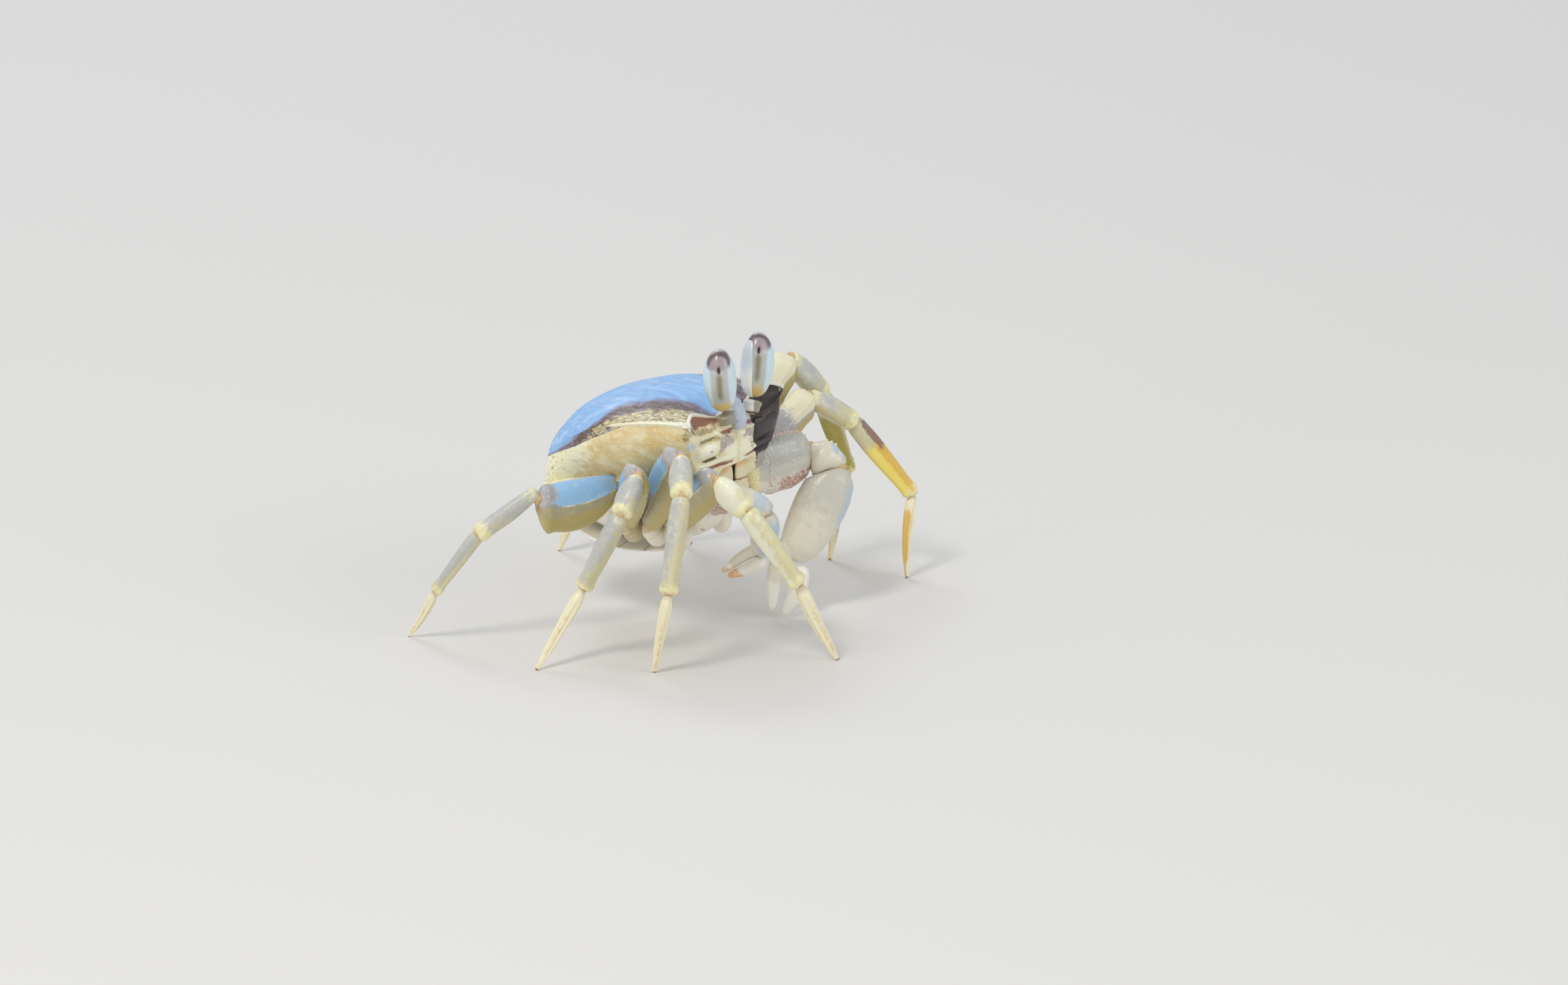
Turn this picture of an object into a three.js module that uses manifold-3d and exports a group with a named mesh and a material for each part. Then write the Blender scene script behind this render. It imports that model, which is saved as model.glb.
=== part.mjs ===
// Ghost crab, life size, standing tall on its eight walking legs with both claws hanging in front.
// Millimetres, +Z up. The face looks along -Y, so the crab's own left side is +X.
// The floor is z = 0, and the origin lies on it under the middle of the whole crab.
import * as THREE from 'three';
import { mergeVertices } from 'three/addons/utils/BufferGeometryUtils.js';
import Module from 'manifold-3d';

const wasm = await Module();
wasm.setup();

// ---- Driving dimensions ----

const JOINT_GAP = 0.3; // clear space between two pieces that meet
const SHELL_LENGTH = 35; // carapace, front to back
const SHELL_FRONT = -16; // y of the front edge
const EYE_HEIGHT = 58.4; // top of the raised eyes above the floor
const EYE_RADIUS = 3.35; // cornea, at its widest
const CLAW_TIP_HEIGHT = 1; // large claw's tips above the floor
const FOOT_RADIUS = 0.42; // half the width of a toe where it meets the floor

// Shell outline as smooth curves of s, which runs from 0 at the front edge to 1 at the rear.
const SHELL_HALF_WIDTH = [[0, 16.5], [0.04, 17.7], [0.12, 18.2], [0.35, 18.6], [0.6, 17.7],
  [0.8, 15.7], [0.94, 13.6], [1, 12]];
const MARGIN_HEIGHT = [[0, 45], [0.2, 44.6], [0.4, 43.4], [0.63, 41.1], [0.81, 37.7], [1, 34]];
const CROWN_HEIGHT = [[0, 45.7], [0.08, 46.2], [0.22, 46.9], [0.4, 47.3], [0.62, 46.4],
  [0.8, 44.2], [0.93, 41.2], [1, 38.6]];
const BELLY_HEIGHT = [[0, 29.6], [0.12, 28.4], [0.72, 28], [0.84, 27.2], [1, 25]];

const REAR_SLOPE = 1.4; // how far the rear wall runs back from the margin down to the belly

// The flank below the margin: how far down to the belly each line runs, and how much of the half
// width it keeps there along the legs and, fuller, behind them.
const FLANK = [
  { down: 0.18, beside: 1.015, behind: 1.02 },
  { down: 0.38, beside: 0.97, behind: 1.03 },
  { down: 0.6, beside: 0.86, behind: 1.02 },
  { down: 0.8, beside: 0.69, behind: 0.96 },
  { down: 0.95, beside: 0.48, behind: 0.8 },
];

// Each walking leg, front pair first: where its merus leaves the hip, and for each piece its
// length, the angle it is swung forward from straight out sideways, and the angle it rises.
// The last piece, the dactylus, has no length here because it reaches down to the floor.
// `haunch` scales the breadth of the merus, `sag` is how far its middle bows downwards, `drop` is how
// far its outer end hangs below the knee, and `lean` is how far its upper edge leans backwards.
// `shank` scales the pieces beyond the knee.
const LEGS = {
  right_1: { hip: [-10.1, -7.5, 21.8], size: 1, shank: 1.1, haunch: 1, sag: -0.5, lean: 0.8,
    merus: [27.9, 55, 33.5], carpus: [8.1, 106, -43], propodus: [18.6, 134, -56], dactylus: [146, -63] },
  right_2: { hip: [-10.2, -2.6, 21.9], size: 1, haunch: 1.1, sag: -0.5, lean: 1, merus: [29.7, 48.6, 39.5],
    carpus: [9, 33, -35], propodus: [19, -11, -79], dactylus: [-109, -75] },
  right_3: { hip: [-10.2, 2.4, 21.9], size: 1, haunch: 1, sag: -0.5, lean: 0.8, merus: [27.9, 38, 32.8],
    carpus: [8.4, -3, -49], propodus: [17.8, -87, -62], dactylus: [-25, -54] },
  right_4: { hip: [-10.6, 3.4, 28.6], size: 0.9, shank: 0.8, haunch: 1.5, sag: 1.6, drop: 3.3,
    merus: [20.3, -21.5, 6], carpus: [14, -47, -35], propodus: [15, -77, -54], dactylus: [-95, -57] },
  left_1: { hip: [10.2, -7.5, 21.8], size: 1, shank: 0.88, haunch: 1.1, sag: -0.5, merus: [28.8, 12, 35],
    carpus: [11.8, 27, -33], propodus: [20, 42, -52], dactylus: [163, -75] },
  left_2: { hip: [10.5, -2.5, 22.1], size: 1.1, shank: 0.88, haunch: 1.15, sag: -0.5, merus: [33.2, 13, 44.8],
    carpus: [12.8, 12, -46], propodus: [20.1, 1, -61], dactylus: [-124, -79] },
  left_3: { hip: [10.2, 2.4, 21.9], size: 1, haunch: 1, sag: -0.5, merus: [26.5, -24, 34],
    carpus: [9.2, -38, -42], propodus: [18, -44, -62], dactylus: [-50, -72] },
  left_4: { hip: [9.7, 7, 28.1], size: 0.9, haunch: 1.3, sag: 0.6, drop: 1.4, merus: [20.4, -48, 10],
    carpus: [12, -66, -38], propodus: [14.5, -84, -57], dactylus: [-104, -72] },
};

// Half the breadth and half the thickness of each leg piece, as curves of the way along it.
const MERUS_BREADTH = [[0, 2.3], [0.35, 3.3], [0.7, 3.6], [1, 2.6]];
const MERUS_THICKNESS = [[0, 1.4], [0.5, 1.65], [1, 1.7]];
const CARPUS_BREADTH = [[0, 2.3], [0.6, 2.7], [1, 2.4]];
const CARPUS_THICKNESS = [[0, 2], [0.6, 2.4], [1, 2.1]];
const PROPODUS_BREADTH = [[0, 2.25], [0.3, 2.5], [1, 1.65]];
const PROPODUS_THICKNESS = [[0, 1.85], [0.3, 1.9], [1, 1.4]];
const DACTYLUS_BREADTH = [[0, 1.5], [0.25, 1.45], [0.75, 0.9], [1, FOOT_RADIUS]];
const DACTYLUS_THICKNESS = [[0, 1.25], [0.25, 1.2], [0.75, 0.75], [1, FOOT_RADIUS]];

const DACTYLUS_BOW = 0.6; // how far the middle of a dactylus curves outwards

// The two claws differ in size. Joints run from the body outwards; `face` is the direction that
// the broad outer side of the hand looks.
const CLAWS = {
  left: { shoulder: [8.2, -12.8, 28.6], elbow: [21.8, -19.4, 30.8], wrist: [24.2, -25.2, 28.4],
    knuckle: [14.2, -20.3, 10.8], tip: [9.8, -19.6, CLAW_TIP_HEIGHT], face: [-0.85, -0.53, 0.1],
    armBreadth: 5.2, armThickness: 2.9, wristBreadth: 3.6, handBreadth: 5.3, handThickness: 3.1,
    fingerBreadth: 1.75, spread: 1.2 },
  right: { shoulder: [-7.6, -12.4, 27.2], elbow: [-11, -22.6, 31], wrist: [-9.8, -30, 28],
    knuckle: [-6.6, -25.9, 18], tip: [-6, -17.3, 12.6], face: [-0.9, 0.1, 0.2],
    armBreadth: 3.2, armThickness: 2.2, wristBreadth: 2.6, handBreadth: 3.3, handThickness: 2.2,
    fingerBreadth: 1.25, spread: 0.8 },
};

// ---- Materials ----

const finish = (color, roughness) => new THREE.MeshStandardMaterial({ color, roughness, metalness: 0 });
const shellFinish = finish('#8f9bb4', 0.4);
const bellyFinish = finish('#e8e4d6', 0.5);
const legFinish = finish('#b9b3ab', 0.45);
const toeFinish = finish('#ece3c4', 0.5);
const clawFinish = finish('#e6e2d4', 0.4);
const stalkFinish = finish('#e9e6dc', 0.4);
const corneaFinish = finish('#5f6f7a', 0.12);

const crab = new THREE.Group();

function addPiece(name, geometry, material) {
  const mesh = new THREE.Mesh(geometry, material);
  mesh.name = name;
  crab.add(mesh);
}

// ---- Shapes ----

const vec = (p) => (p.isVector3 ? p.clone() : new THREE.Vector3(...p));

// A smooth curve through [position, value] pairs, read at t.
function along(table, t) {
  const last = table.length - 1;
  let i = 0;
  while (i < last - 1 && t > table[i + 1][0]) i += 1;
  const slopeAt = (k) => {
    const a = table[Math.max(k - 1, 0)];
    const b = table[Math.min(k + 1, last)];
    return (b[1] - a[1]) / (b[0] - a[0]);
  };
  const [t0, v0] = table[i];
  const [t1, v1] = table[i + 1];
  const h = t1 - t0;
  const u = THREE.MathUtils.clamp((t - t0) / h, 0, 1);
  return v0 * (1 + 2 * u) * (1 - u) ** 2 + slopeAt(i) * h * u * (1 - u) ** 2
    + v1 * u * u * (3 - 2 * u) + slopeAt(i + 1) * h * u * u * (u - 1);
}

// A closed body through rings of equal count, with a fan at each end.
function loft(rings, startPoint, endPoint) {
  const count = rings[0].length;
  const points = rings.flat().concat([startPoint, endPoint]);
  const faces = [];
  for (let r = 0; r < rings.length - 1; r += 1) {
    for (let k = 0; k < count; k += 1) {
      const a = r * count + k;
      const b = r * count + ((k + 1) % count);
      faces.push(a, b, b + count, a, b + count, a + count);
    }
  }
  const startIndex = points.length - 2;
  const endIndex = points.length - 1;
  const lastRing = (rings.length - 1) * count;
  for (let k = 0; k < count; k += 1) {
    const next = (k + 1) % count;
    faces.push(startIndex, next, k, endIndex, lastRing + k, lastRing + next);
  }
  let volume = 0;
  for (let f = 0; f < faces.length; f += 3) {
    const [a, b, c] = [points[faces[f]], points[faces[f + 1]], points[faces[f + 2]]];
    volume += a.dot(b.clone().cross(c));
  }
  if (volume < 0) {
    for (let f = 0; f < faces.length; f += 3) [faces[f], faces[f + 1]] = [faces[f + 1], faces[f]];
  }
  const geometry = new THREE.BufferGeometry();
  const numbers = points.flatMap((p) => p.toArray());
  geometry.setAttribute('position', new THREE.Float32BufferAttribute(numbers, 3));
  geometry.setIndex(faces);
  return geometry;
}

// A rounded limb piece along a path of points. `broad` is the direction of its breadth. Each plane
// {point, normal} keeps the piece on the side its normal points to, which gives clean joint faces.
function limb({ path, broad, breadth, thickness, size = 1, sides = 8, steps = 3, capStart = 1,
  capEnd = 1, planes = [], grow = 0 }) {
  const curve = new THREE.CatmullRomCurve3(path.map(vec));
  const length = curve.getLength();
  const stations = [];
  const capAngles = [0.42, 1];
  for (const turn of capAngles) {
    const angle = (turn * Math.PI) / 2;
    stations.push({ at: capStart * (1 - Math.cos(angle)), scale: Math.sin(angle) });
  }
  for (let k = 1; k <= steps; k += 1) {
    stations.push({ at: capStart + ((length - capStart - capEnd) * k) / (steps + 1), scale: 1 });
  }
  for (const turn of [...capAngles].reverse()) {
    const angle = (turn * Math.PI) / 2;
    stations.push({ at: length - capEnd * (1 - Math.cos(angle)), scale: Math.sin(angle) });
  }
  const frameAt = (t) => {
    const tangent = curve.getTangentAt(t);
    const up = vec(broad).addScaledVector(tangent, -vec(broad).dot(tangent)).normalize();
    return { centre: curve.getPointAt(t), tangent, up, side: tangent.clone().cross(up) };
  };
  const keep = (point, tangent) => {
    for (const plane of planes) {
      const short = plane.normal.dot(plane.point.clone().sub(point));
      if (short > 0) point.addScaledVector(tangent, short / plane.normal.dot(tangent));
    }
    return point;
  };
  const rings = stations.map(({ at, scale }) => {
    const t = THREE.MathUtils.clamp(at / length, 0, 1);
    const { centre, tangent, up, side } = frameAt(t);
    const halfBreadth = along(breadth, t) * size * scale + grow;
    const halfThickness = along(thickness, t) * size * scale + grow;
    return Array.from({ length: sides }, (_, k) => {
      const angle = (2 * Math.PI * k) / sides;
      const point = centre.clone()
        .addScaledVector(up, halfBreadth * Math.cos(angle))
        .addScaledVector(side, halfThickness * Math.sin(angle));
      return keep(point, tangent);
    });
  });
  const start = frameAt(0);
  const end = frameAt(1);
  const startPoint = keep(start.centre.clone().addScaledVector(start.tangent, -grow), start.tangent);
  const endPoint = keep(end.centre.clone().addScaledVector(end.tangent, grow), end.tangent);
  return loft(rings, startPoint, endPoint);
}

// The two faces of a joint: planes through it, half the gap to each side, square to its mean line.
function jointPlanes(point, before, after) {
  const normal = before.clone().add(after).normalize();
  const half = normal.clone().multiplyScalar(JOINT_GAP / 2);
  return {
    inner: { point: vec(point).sub(half), normal: normal.clone().negate() },
    outer: { point: vec(point).add(half), normal },
  };
}

// How much of a piece's end its rounding takes, so that a sharply bent joint still closes.
function capLength(halfBreadth, before, after) {
  const bend = before.angleTo(after);
  return Math.max(0.7 * halfBreadth, halfBreadth * Math.tan(bend / 2) * 0.85);
}

function toManifold(geometry) {
  const bare = geometry.clone();
  bare.deleteAttribute('normal');
  bare.deleteAttribute('uv');
  const merged = mergeVertices(bare, 1e-4);
  return new wasm.Manifold(new wasm.Mesh({
    numProp: 3,
    vertProperties: new Float32Array(merged.attributes.position.array),
    triVerts: new Uint32Array(merged.index.array),
  }));
}

function toGeometry(solid) {
  const mesh = solid.getMesh();
  const geometry = new THREE.BufferGeometry();
  geometry.setAttribute('position', new THREE.BufferAttribute(new Float32Array(mesh.vertProperties), 3));
  geometry.setIndex(Array.from(mesh.triVerts));
  return geometry;
}

// ---- Walking legs ----

function direction(side, sweepDegrees, riseDegrees) {
  const sweep = THREE.MathUtils.degToRad(sweepDegrees);
  const rise = THREE.MathUtils.degToRad(riseDegrees);
  const level = Math.cos(rise);
  return new THREE.Vector3(side * level * Math.cos(sweep), -level * Math.sin(sweep), Math.sin(rise));
}

// Solids that the shell makes room for, a little larger than the pieces that they stand for.
const shellClearances = [];

const FLOOR = { point: new THREE.Vector3(0, 0, 0), normal: new THREE.Vector3(0, 0, 1) };
const STERNUM_HALF_WIDTH = 5.4;
const COXA_HEIGHT = 18.4; // middle of the rounded hips, where they hang beside the sternum
const FIRST_COXA = -8.4; // y of the front pair's hips
const COXA_PITCH = 5.4; // from one pair of hips to the next

function addLeg(name, leg) {
  const side = Math.sign(leg.hip[0]);
  const shank = leg.size * (leg.shank ?? 1);
  const hip = vec(leg.hip);
  const toKnee = direction(side, leg.merus[1], leg.merus[2]);
  const knee = hip.clone().addScaledVector(toKnee, leg.merus[0]);
  const toCuff = direction(side, leg.carpus[1], leg.carpus[2]);
  const cuff = knee.clone().addScaledVector(toCuff, leg.carpus[0]);
  const toAnkle = direction(side, leg.propodus[1], leg.propodus[2]);
  const ankle = cuff.clone().addScaledVector(toAnkle, leg.propodus[0]);
  const toToe = direction(side, ...leg.dactylus);
  const toe = ankle.clone().addScaledVector(toToe, -ankle.z / toToe.z);

  // The merus stands on edge, and the pieces below it lie in the plane that the knee bends in.
  const hinge = toKnee.clone().cross(toe.clone().sub(knee)).normalize();
  const outward = (dir) => hinge.clone().cross(dir).normalize();

  const coxaY = FIRST_COXA + COXA_PITCH * (Number(name.split('_')[1]) - 1);
  const coxa = new THREE.Vector3(side * (STERNUM_HALF_WIDTH + 0.6), coxaY, COXA_HEIGHT);
  const toHip = hip.clone().sub(coxa).normalize();
  const hipJoint = jointPlanes(hip, toHip, toKnee);
  const kneeJoint = jointPlanes(knee, toKnee, toCuff);
  const cuffJoint = jointPlanes(cuff, toCuff, toAnkle);
  const ankleJoint = jointPlanes(ankle, toAnkle, toToe);
  const sternumWall = {
    point: new THREE.Vector3(side * (STERNUM_HALF_WIDTH + JOINT_GAP), 0, 0),
    normal: new THREE.Vector3(side, 0, 0),
  };

  const root = { path: [coxa.clone().addScaledVector(toHip, -1.4), hip.clone().addScaledVector(toHip, 0.5)],
    broad: [side, 0, -0.6], breadth: [[0, 2.9], [0.5, 3.1], [1, 2.1]],
    thickness: [[0, 2.1], [0.5, 2.2], [1, 1.5]], steps: 2, capStart: 1.8, capEnd: 1 };
  addPiece(`leg_${name}_hip`, limb({ ...root, planes: [sternumWall, hipJoint.inner] }), bellyFinish);
  shellClearances.push(limb({ ...root, grow: JOINT_GAP }));

  const drop = leg.drop ?? 0;
  const middle = hip.clone().lerp(knee, 0.5);
  middle.z -= leg.sag + drop / 2;
  const outerEnd = knee.clone().setZ(knee.z - drop);
  const merus = { path: [hip, middle, outerEnd], broad: [0, leg.lean ?? 0, 1],
    breadth: MERUS_BREADTH.map(([t, half]) => [t, half * (t > 0 ? leg.haunch : 1)]),
    thickness: MERUS_THICKNESS, size: leg.size, sides: 10, steps: 4, capStart: 1.6,
    capEnd: capLength(2.8 * leg.size, toKnee, toCuff) };
  addPiece(`leg_${name}_merus`, limb({ ...merus, planes: [hipJoint.outer, kneeJoint.inner] }), legFinish);
  shellClearances.push(limb({ ...merus, grow: JOINT_GAP }));

  addPiece(`leg_${name}_carpus`, limb({ path: [knee, cuff], broad: outward(toCuff),
    breadth: CARPUS_BREADTH, thickness: CARPUS_THICKNESS, size: shank, steps: 2,
    capStart: capLength(2.1 * shank, toKnee, toCuff), capEnd: capLength(2.2 * shank, toCuff, toAnkle),
    planes: [kneeJoint.outer, cuffJoint.inner] }), legFinish);

  addPiece(`leg_${name}_propodus`, limb({ path: [cuff, ankle], broad: outward(toAnkle),
    breadth: PROPODUS_BREADTH, thickness: PROPODUS_THICKNESS, size: shank, steps: 3,
    capStart: capLength(2.1 * shank, toCuff, toAnkle), capEnd: capLength(1.6 * shank, toAnkle, toToe),
    planes: [cuffJoint.outer, ankleJoint.inner] }), legFinish);

  const toeBow = ankle.clone().lerp(toe, 0.5).addScaledVector(outward(toToe), DACTYLUS_BOW);
  addPiece(`leg_${name}_dactylus`, limb({ path: [ankle, toeBow, toe], broad: outward(toToe),
    breadth: DACTYLUS_BREADTH, thickness: DACTYLUS_THICKNESS, size: shank, steps: 4,
    capStart: capLength(1.5 * shank, toAnkle, toToe), capEnd: 0.35,
    planes: [ankleJoint.outer, FLOOR] }), toeFinish);
}

for (const [name, leg] of Object.entries(LEGS)) addLeg(name, leg);

// ---- Claws ----

function addClaw(name, claw) {
  const side = Math.sign(claw.shoulder[0]);
  const [shoulder, elbow, wrist, knuckle, tip] = ['shoulder', 'elbow', 'wrist', 'knuckle', 'tip']
    .map((key) => vec(claw[key]));
  const toElbow = elbow.clone().sub(shoulder).normalize();
  const toWrist = wrist.clone().sub(elbow).normalize();
  const toKnuckle = knuckle.clone().sub(wrist).normalize();
  const toTip = tip.clone().sub(knuckle).normalize();
  const coxa = new THREE.Vector3(side * (STERNUM_HALF_WIDTH + 0.5), -11.6, shoulder.z - 5.2);
  const toShoulder = shoulder.clone().sub(coxa).normalize();
  const shoulderJoint = jointPlanes(shoulder, toShoulder, toElbow);
  const elbowJoint = jointPlanes(elbow, toElbow, toWrist);
  const wristJoint = jointPlanes(wrist, toWrist, toKnuckle);
  const small = claw.handBreadth / CLAWS.left.handBreadth;

  const root = {
    path: [coxa.clone().addScaledVector(toShoulder, -1), shoulder.clone().addScaledVector(toShoulder, 0.4)],
    broad: [side, -0.4, 0], breadth: [[0, 2.5], [1, 2.2]], thickness: [[0, 1.7], [1, 1.6]], steps: 2,
    capStart: 1.5 };
  const sternumWall = {
    point: new THREE.Vector3(side * (STERNUM_HALF_WIDTH + JOINT_GAP), 0, 0),
    normal: new THREE.Vector3(side, 0, 0),
  };
  addPiece(`claw_${name}_hip`, limb({ ...root, planes: [sternumWall, shoulderJoint.inner] }), bellyFinish);
  shellClearances.push(limb({ ...root, grow: JOINT_GAP }));

  const arm = { path: [shoulder, elbow], broad: [0, 0, 1],
    breadth: [[0, 3.8 * small], [0.25, claw.armBreadth * 0.92], [0.6, claw.armBreadth],
      [1, claw.armBreadth * 0.88]],
    thickness: [[0, claw.armThickness * 0.7], [0.6, claw.armThickness], [1, claw.armThickness * 0.85]],
    sides: 10, steps: 3, capStart: 1.6, capEnd: capLength(claw.armBreadth * 0.7, toElbow, toWrist) };
  const armPlanes = [shoulderJoint.outer, elbowJoint.inner];
  addPiece(`claw_${name}_merus`, limb({ ...arm, planes: armPlanes }), clawFinish);
  shellClearances.push(limb({ ...arm, grow: JOINT_GAP }));

  addPiece(`claw_${name}_carpus`, limb({ path: [elbow, wrist], broad: [0, 0, 1],
    breadth: [[0, claw.wristBreadth * 0.8], [0.5, claw.wristBreadth], [1, claw.wristBreadth * 0.75]],
    thickness: [[0, claw.wristBreadth * 0.7], [0.5, claw.wristBreadth * 0.9], [1, claw.wristBreadth * 0.7]],
    sides: 10, steps: 2, capStart: capLength(claw.wristBreadth * 0.7, toElbow, toWrist),
    capEnd: capLength(claw.wristBreadth * 0.6, toWrist, toKnuckle),
    planes: [elbowJoint.outer, wristJoint.inner] }), clawFinish);

  // The hand: palm and fixed finger are one piece, and the movable finger closes on the front side.
  const face = vec(claw.face).normalize();
  const toFinger = face.clone().cross(toKnuckle).normalize();
  if (toFinger.y > 0) toFinger.negate();
  const half = claw.handBreadth;
  const hand = { path: [wrist, knuckle], broad: toFinger,
    breadth: [[0, half * 0.62], [0.3, half * 0.96], [0.65, half * 0.9], [1, half * 0.62]],
    thickness: [[0, claw.handThickness * 0.75], [0.5, claw.handThickness], [1, claw.handThickness * 0.62]],
    sides: 12, steps: 4, capStart: capLength(half * 0.5, toWrist, toKnuckle), capEnd: half * 0.55 };
  const palm = toManifold(limb({ ...hand, planes: [wristJoint.outer] }));
  const finger = claw.fingerBreadth;
  const fingerBreadth = [[0, finger], [0.3, finger], [0.75, finger * 0.72], [1, finger * 0.34]];
  const fingerThickness = [[0, finger], [0.3, finger * 0.85], [1, finger * 0.3]];
  const offset = (base, out, ahead) => base.clone()
    .addScaledVector(toFinger, out)
    .addScaledVector(toTip, ahead);
  const fixedTip = offset(tip, -claw.spread, 0);
  const fixedPath = [offset(knuckle, -half * 0.36, -half * 0.6), offset(knuckle, -half * 0.5, half * 0.55),
    fixedTip];
  const fixedFinger = toManifold(limb({ path: fixedPath, broad: toFinger, breadth: fingerBreadth,
    thickness: fingerThickness, steps: 4, capStart: 1, capEnd: 0.6 }));
  addPiece(`claw_${name}_palm`, toGeometry(palm.add(fixedFinger)), clawFinish);

  const movablePath = [offset(knuckle, half * 0.34, half * 0.02), offset(knuckle, half * 0.52, half * 0.8),
    offset(tip, claw.spread, -0.4)];
  const movable = toManifold(limb({ path: movablePath, broad: toFinger, breadth: fingerBreadth,
    thickness: fingerThickness, steps: 5, capStart: 1, capEnd: 0.6 }));
  const handRoom = toManifold(limb({ ...hand, grow: JOINT_GAP }));
  addPiece(`claw_${name}_finger`, toGeometry(movable.subtract(handRoom)), clawFinish);
}

for (const [name, claw] of Object.entries(CLAWS)) addClaw(name, claw);

// ---- Eyes ----

const EYE_ROOT = [4.3, -17, 42.6]; // where the stalk leaves its socket
const EYE_LEAN = 2.9; // how far the top leans outwards
const EYE_BOW = 1; // how far its middle bows outwards
const CORNEA_START = 0.17; // part of the eye's height taken by the bare stalk

function eyePath(side, from, to) {
  const root = vec(EYE_ROOT);
  return [from, (from + to) / 2, to].map((t) => [
    side * (root.x + EYE_LEAN * t + EYE_BOW * Math.sin(Math.PI * t)),
    root.y,
    root.z + (EYE_HEIGHT - root.z) * t,
  ]);
}

for (const [name, side] of [['right', -1], ['left', 1]]) {
  const stalk = { path: eyePath(side, 0, CORNEA_START - 0.01), broad: [1, 0, 0],
    breadth: [[0, 1.5], [1, 2]], thickness: [[0, 1.4], [1, 1.8]], sides: 10, steps: 1, capStart: 0.6,
    capEnd: 0.5 };
  addPiece(`eyestalk_${name}`, limb(stalk), stalkFinish);
  shellClearances.push(limb({ ...stalk, grow: JOINT_GAP + 0.05 }));
  const cornea = { path: eyePath(side, CORNEA_START + 0.01, 1), broad: [1, 0, 0],
    breadth: [[0, EYE_RADIUS * 0.8], [0.45, EYE_RADIUS], [0.8, EYE_RADIUS * 0.88], [1, EYE_RADIUS * 0.7]],
    thickness: [[0, EYE_RADIUS * 0.75], [0.45, EYE_RADIUS * 0.94], [0.8, EYE_RADIUS * 0.84],
      [1, EYE_RADIUS * 0.66]],
    sides: 12, steps: 5, capStart: 1.6, capEnd: 3.2 };
  addPiece(`cornea_${name}`, limb(cornea), corneaFinish);
  shellClearances.push(limb({ ...cornea, grow: JOINT_GAP }));
}

// ---- Shell, belly and mouth ----

// Half the section of the shell at s, from the crown down the flank to the middle of the belly.
function shellSection(s, squeeze = 1, push = 0) {
  const y = SHELL_FRONT + SHELL_LENGTH * s + push;
  const width = along(SHELL_HALF_WIDTH, s);
  const margin = along(MARGIN_HEIGHT, s);
  const crown = along(CROWN_HEIGHT, s);
  const belly = along(BELLY_HEIGHT, s);
  const half = [];
  for (const q of [0, 0.25, 0.48, 0.68, 0.83, 0.94]) {
    half.push([width * q, margin + (crown - margin) * (1 - q ** 2.4) ** 0.8]);
  }
  half.push([width, margin]);
  const fullness = THREE.MathUtils.smoothstep(s, 0.7, 0.94);
  for (const { down, beside, behind } of FLANK) {
    const part = THREE.MathUtils.lerp(beside, behind, fullness);
    half.push([width * part, margin + (belly - margin) * down]);
  }
  half.push([0, belly]);
  const middle = (crown + belly) / 2;
  const below = (z) => THREE.MathUtils.clamp((margin - z) / (margin - belly), 0, 1);
  const rearward = (z) => y + fullness * REAR_SLOPE * below(z);
  const squeezed = half.map(([x, z]) => [x * squeeze, middle + (z - middle) * squeeze]);
  const right = squeezed.map(([x, z]) => new THREE.Vector3(-x, rearward(z), z));
  const left = squeezed.slice(1, -1).reverse().map(([x, z]) => new THREE.Vector3(x, rearward(z), z));
  return right.concat(left);
}

const shellRings = [shellSection(0, 0.86, -0.5)];
const SHELL_STATIONS = [0, 0.04, 0.1, 0.18, 0.28, 0.38, 0.48, 0.58, 0.68, 0.77, 0.85, 0.92, 0.97, 1];
for (const s of SHELL_STATIONS) shellRings.push(shellSection(s));
shellRings.push(shellSection(1, 0.72, 0.5));
let shell = toManifold(loft(shellRings, new THREE.Vector3(0, SHELL_FRONT - 0.6, 39),
  new THREE.Vector3(0, SHELL_FRONT + SHELL_LENGTH + 0.6, 33)));

// The two sockets that the eyestalks fold down into, open to the front and above.
function ball(centre, radii) {
  const geometry = new THREE.SphereGeometry(1, 14, 10);
  geometry.scale(...radii);
  geometry.translate(...centre);
  return toManifold(geometry);
}
const SOCKET_CENTRE = [9.2, -17.9, 44.7];
const SOCKET_RADII = [7.4, 3.5, 3.5];
for (const side of [-1, 1]) {
  const [across, ahead, up] = SOCKET_CENTRE;
  shell = shell.subtract(ball([side * across, ahead, up], SOCKET_RADII));
}

// The mouth frame, where the outer jaw plates close.
const MOUTH_SIZE = [10.8, 4, 8]; // width, depth and height
const MOUTH_CENTRE = [0, -16.6, 30.2];
const mouthFrame = new THREE.BoxGeometry(...MOUTH_SIZE);
mouthFrame.translate(...MOUTH_CENTRE);
shell = shell.subtract(toManifold(mouthFrame));
for (const room of shellClearances) shell = shell.subtract(toManifold(room));
addPiece('carapace', toGeometry(shell), shellFinish);

for (const [name, side] of [['right', -1], ['left', 1]]) {
  addPiece(`maxilliped_${name}`, limb({ path: [[side * 2.75, -15.7, 33.8], [side * 2.75, -15.8, 29.6],
    [side * 2.5, -14.9, 24.4]], broad: [1, 0, 0], breadth: [[0, 2.2], [0.5, 2.45], [1, 2]],
  thickness: [[0, 0.7], [0.5, 0.8], [1, 0.7]], steps: 2, capStart: 0.8, capEnd: 1.2 }), bellyFinish);
}

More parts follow.
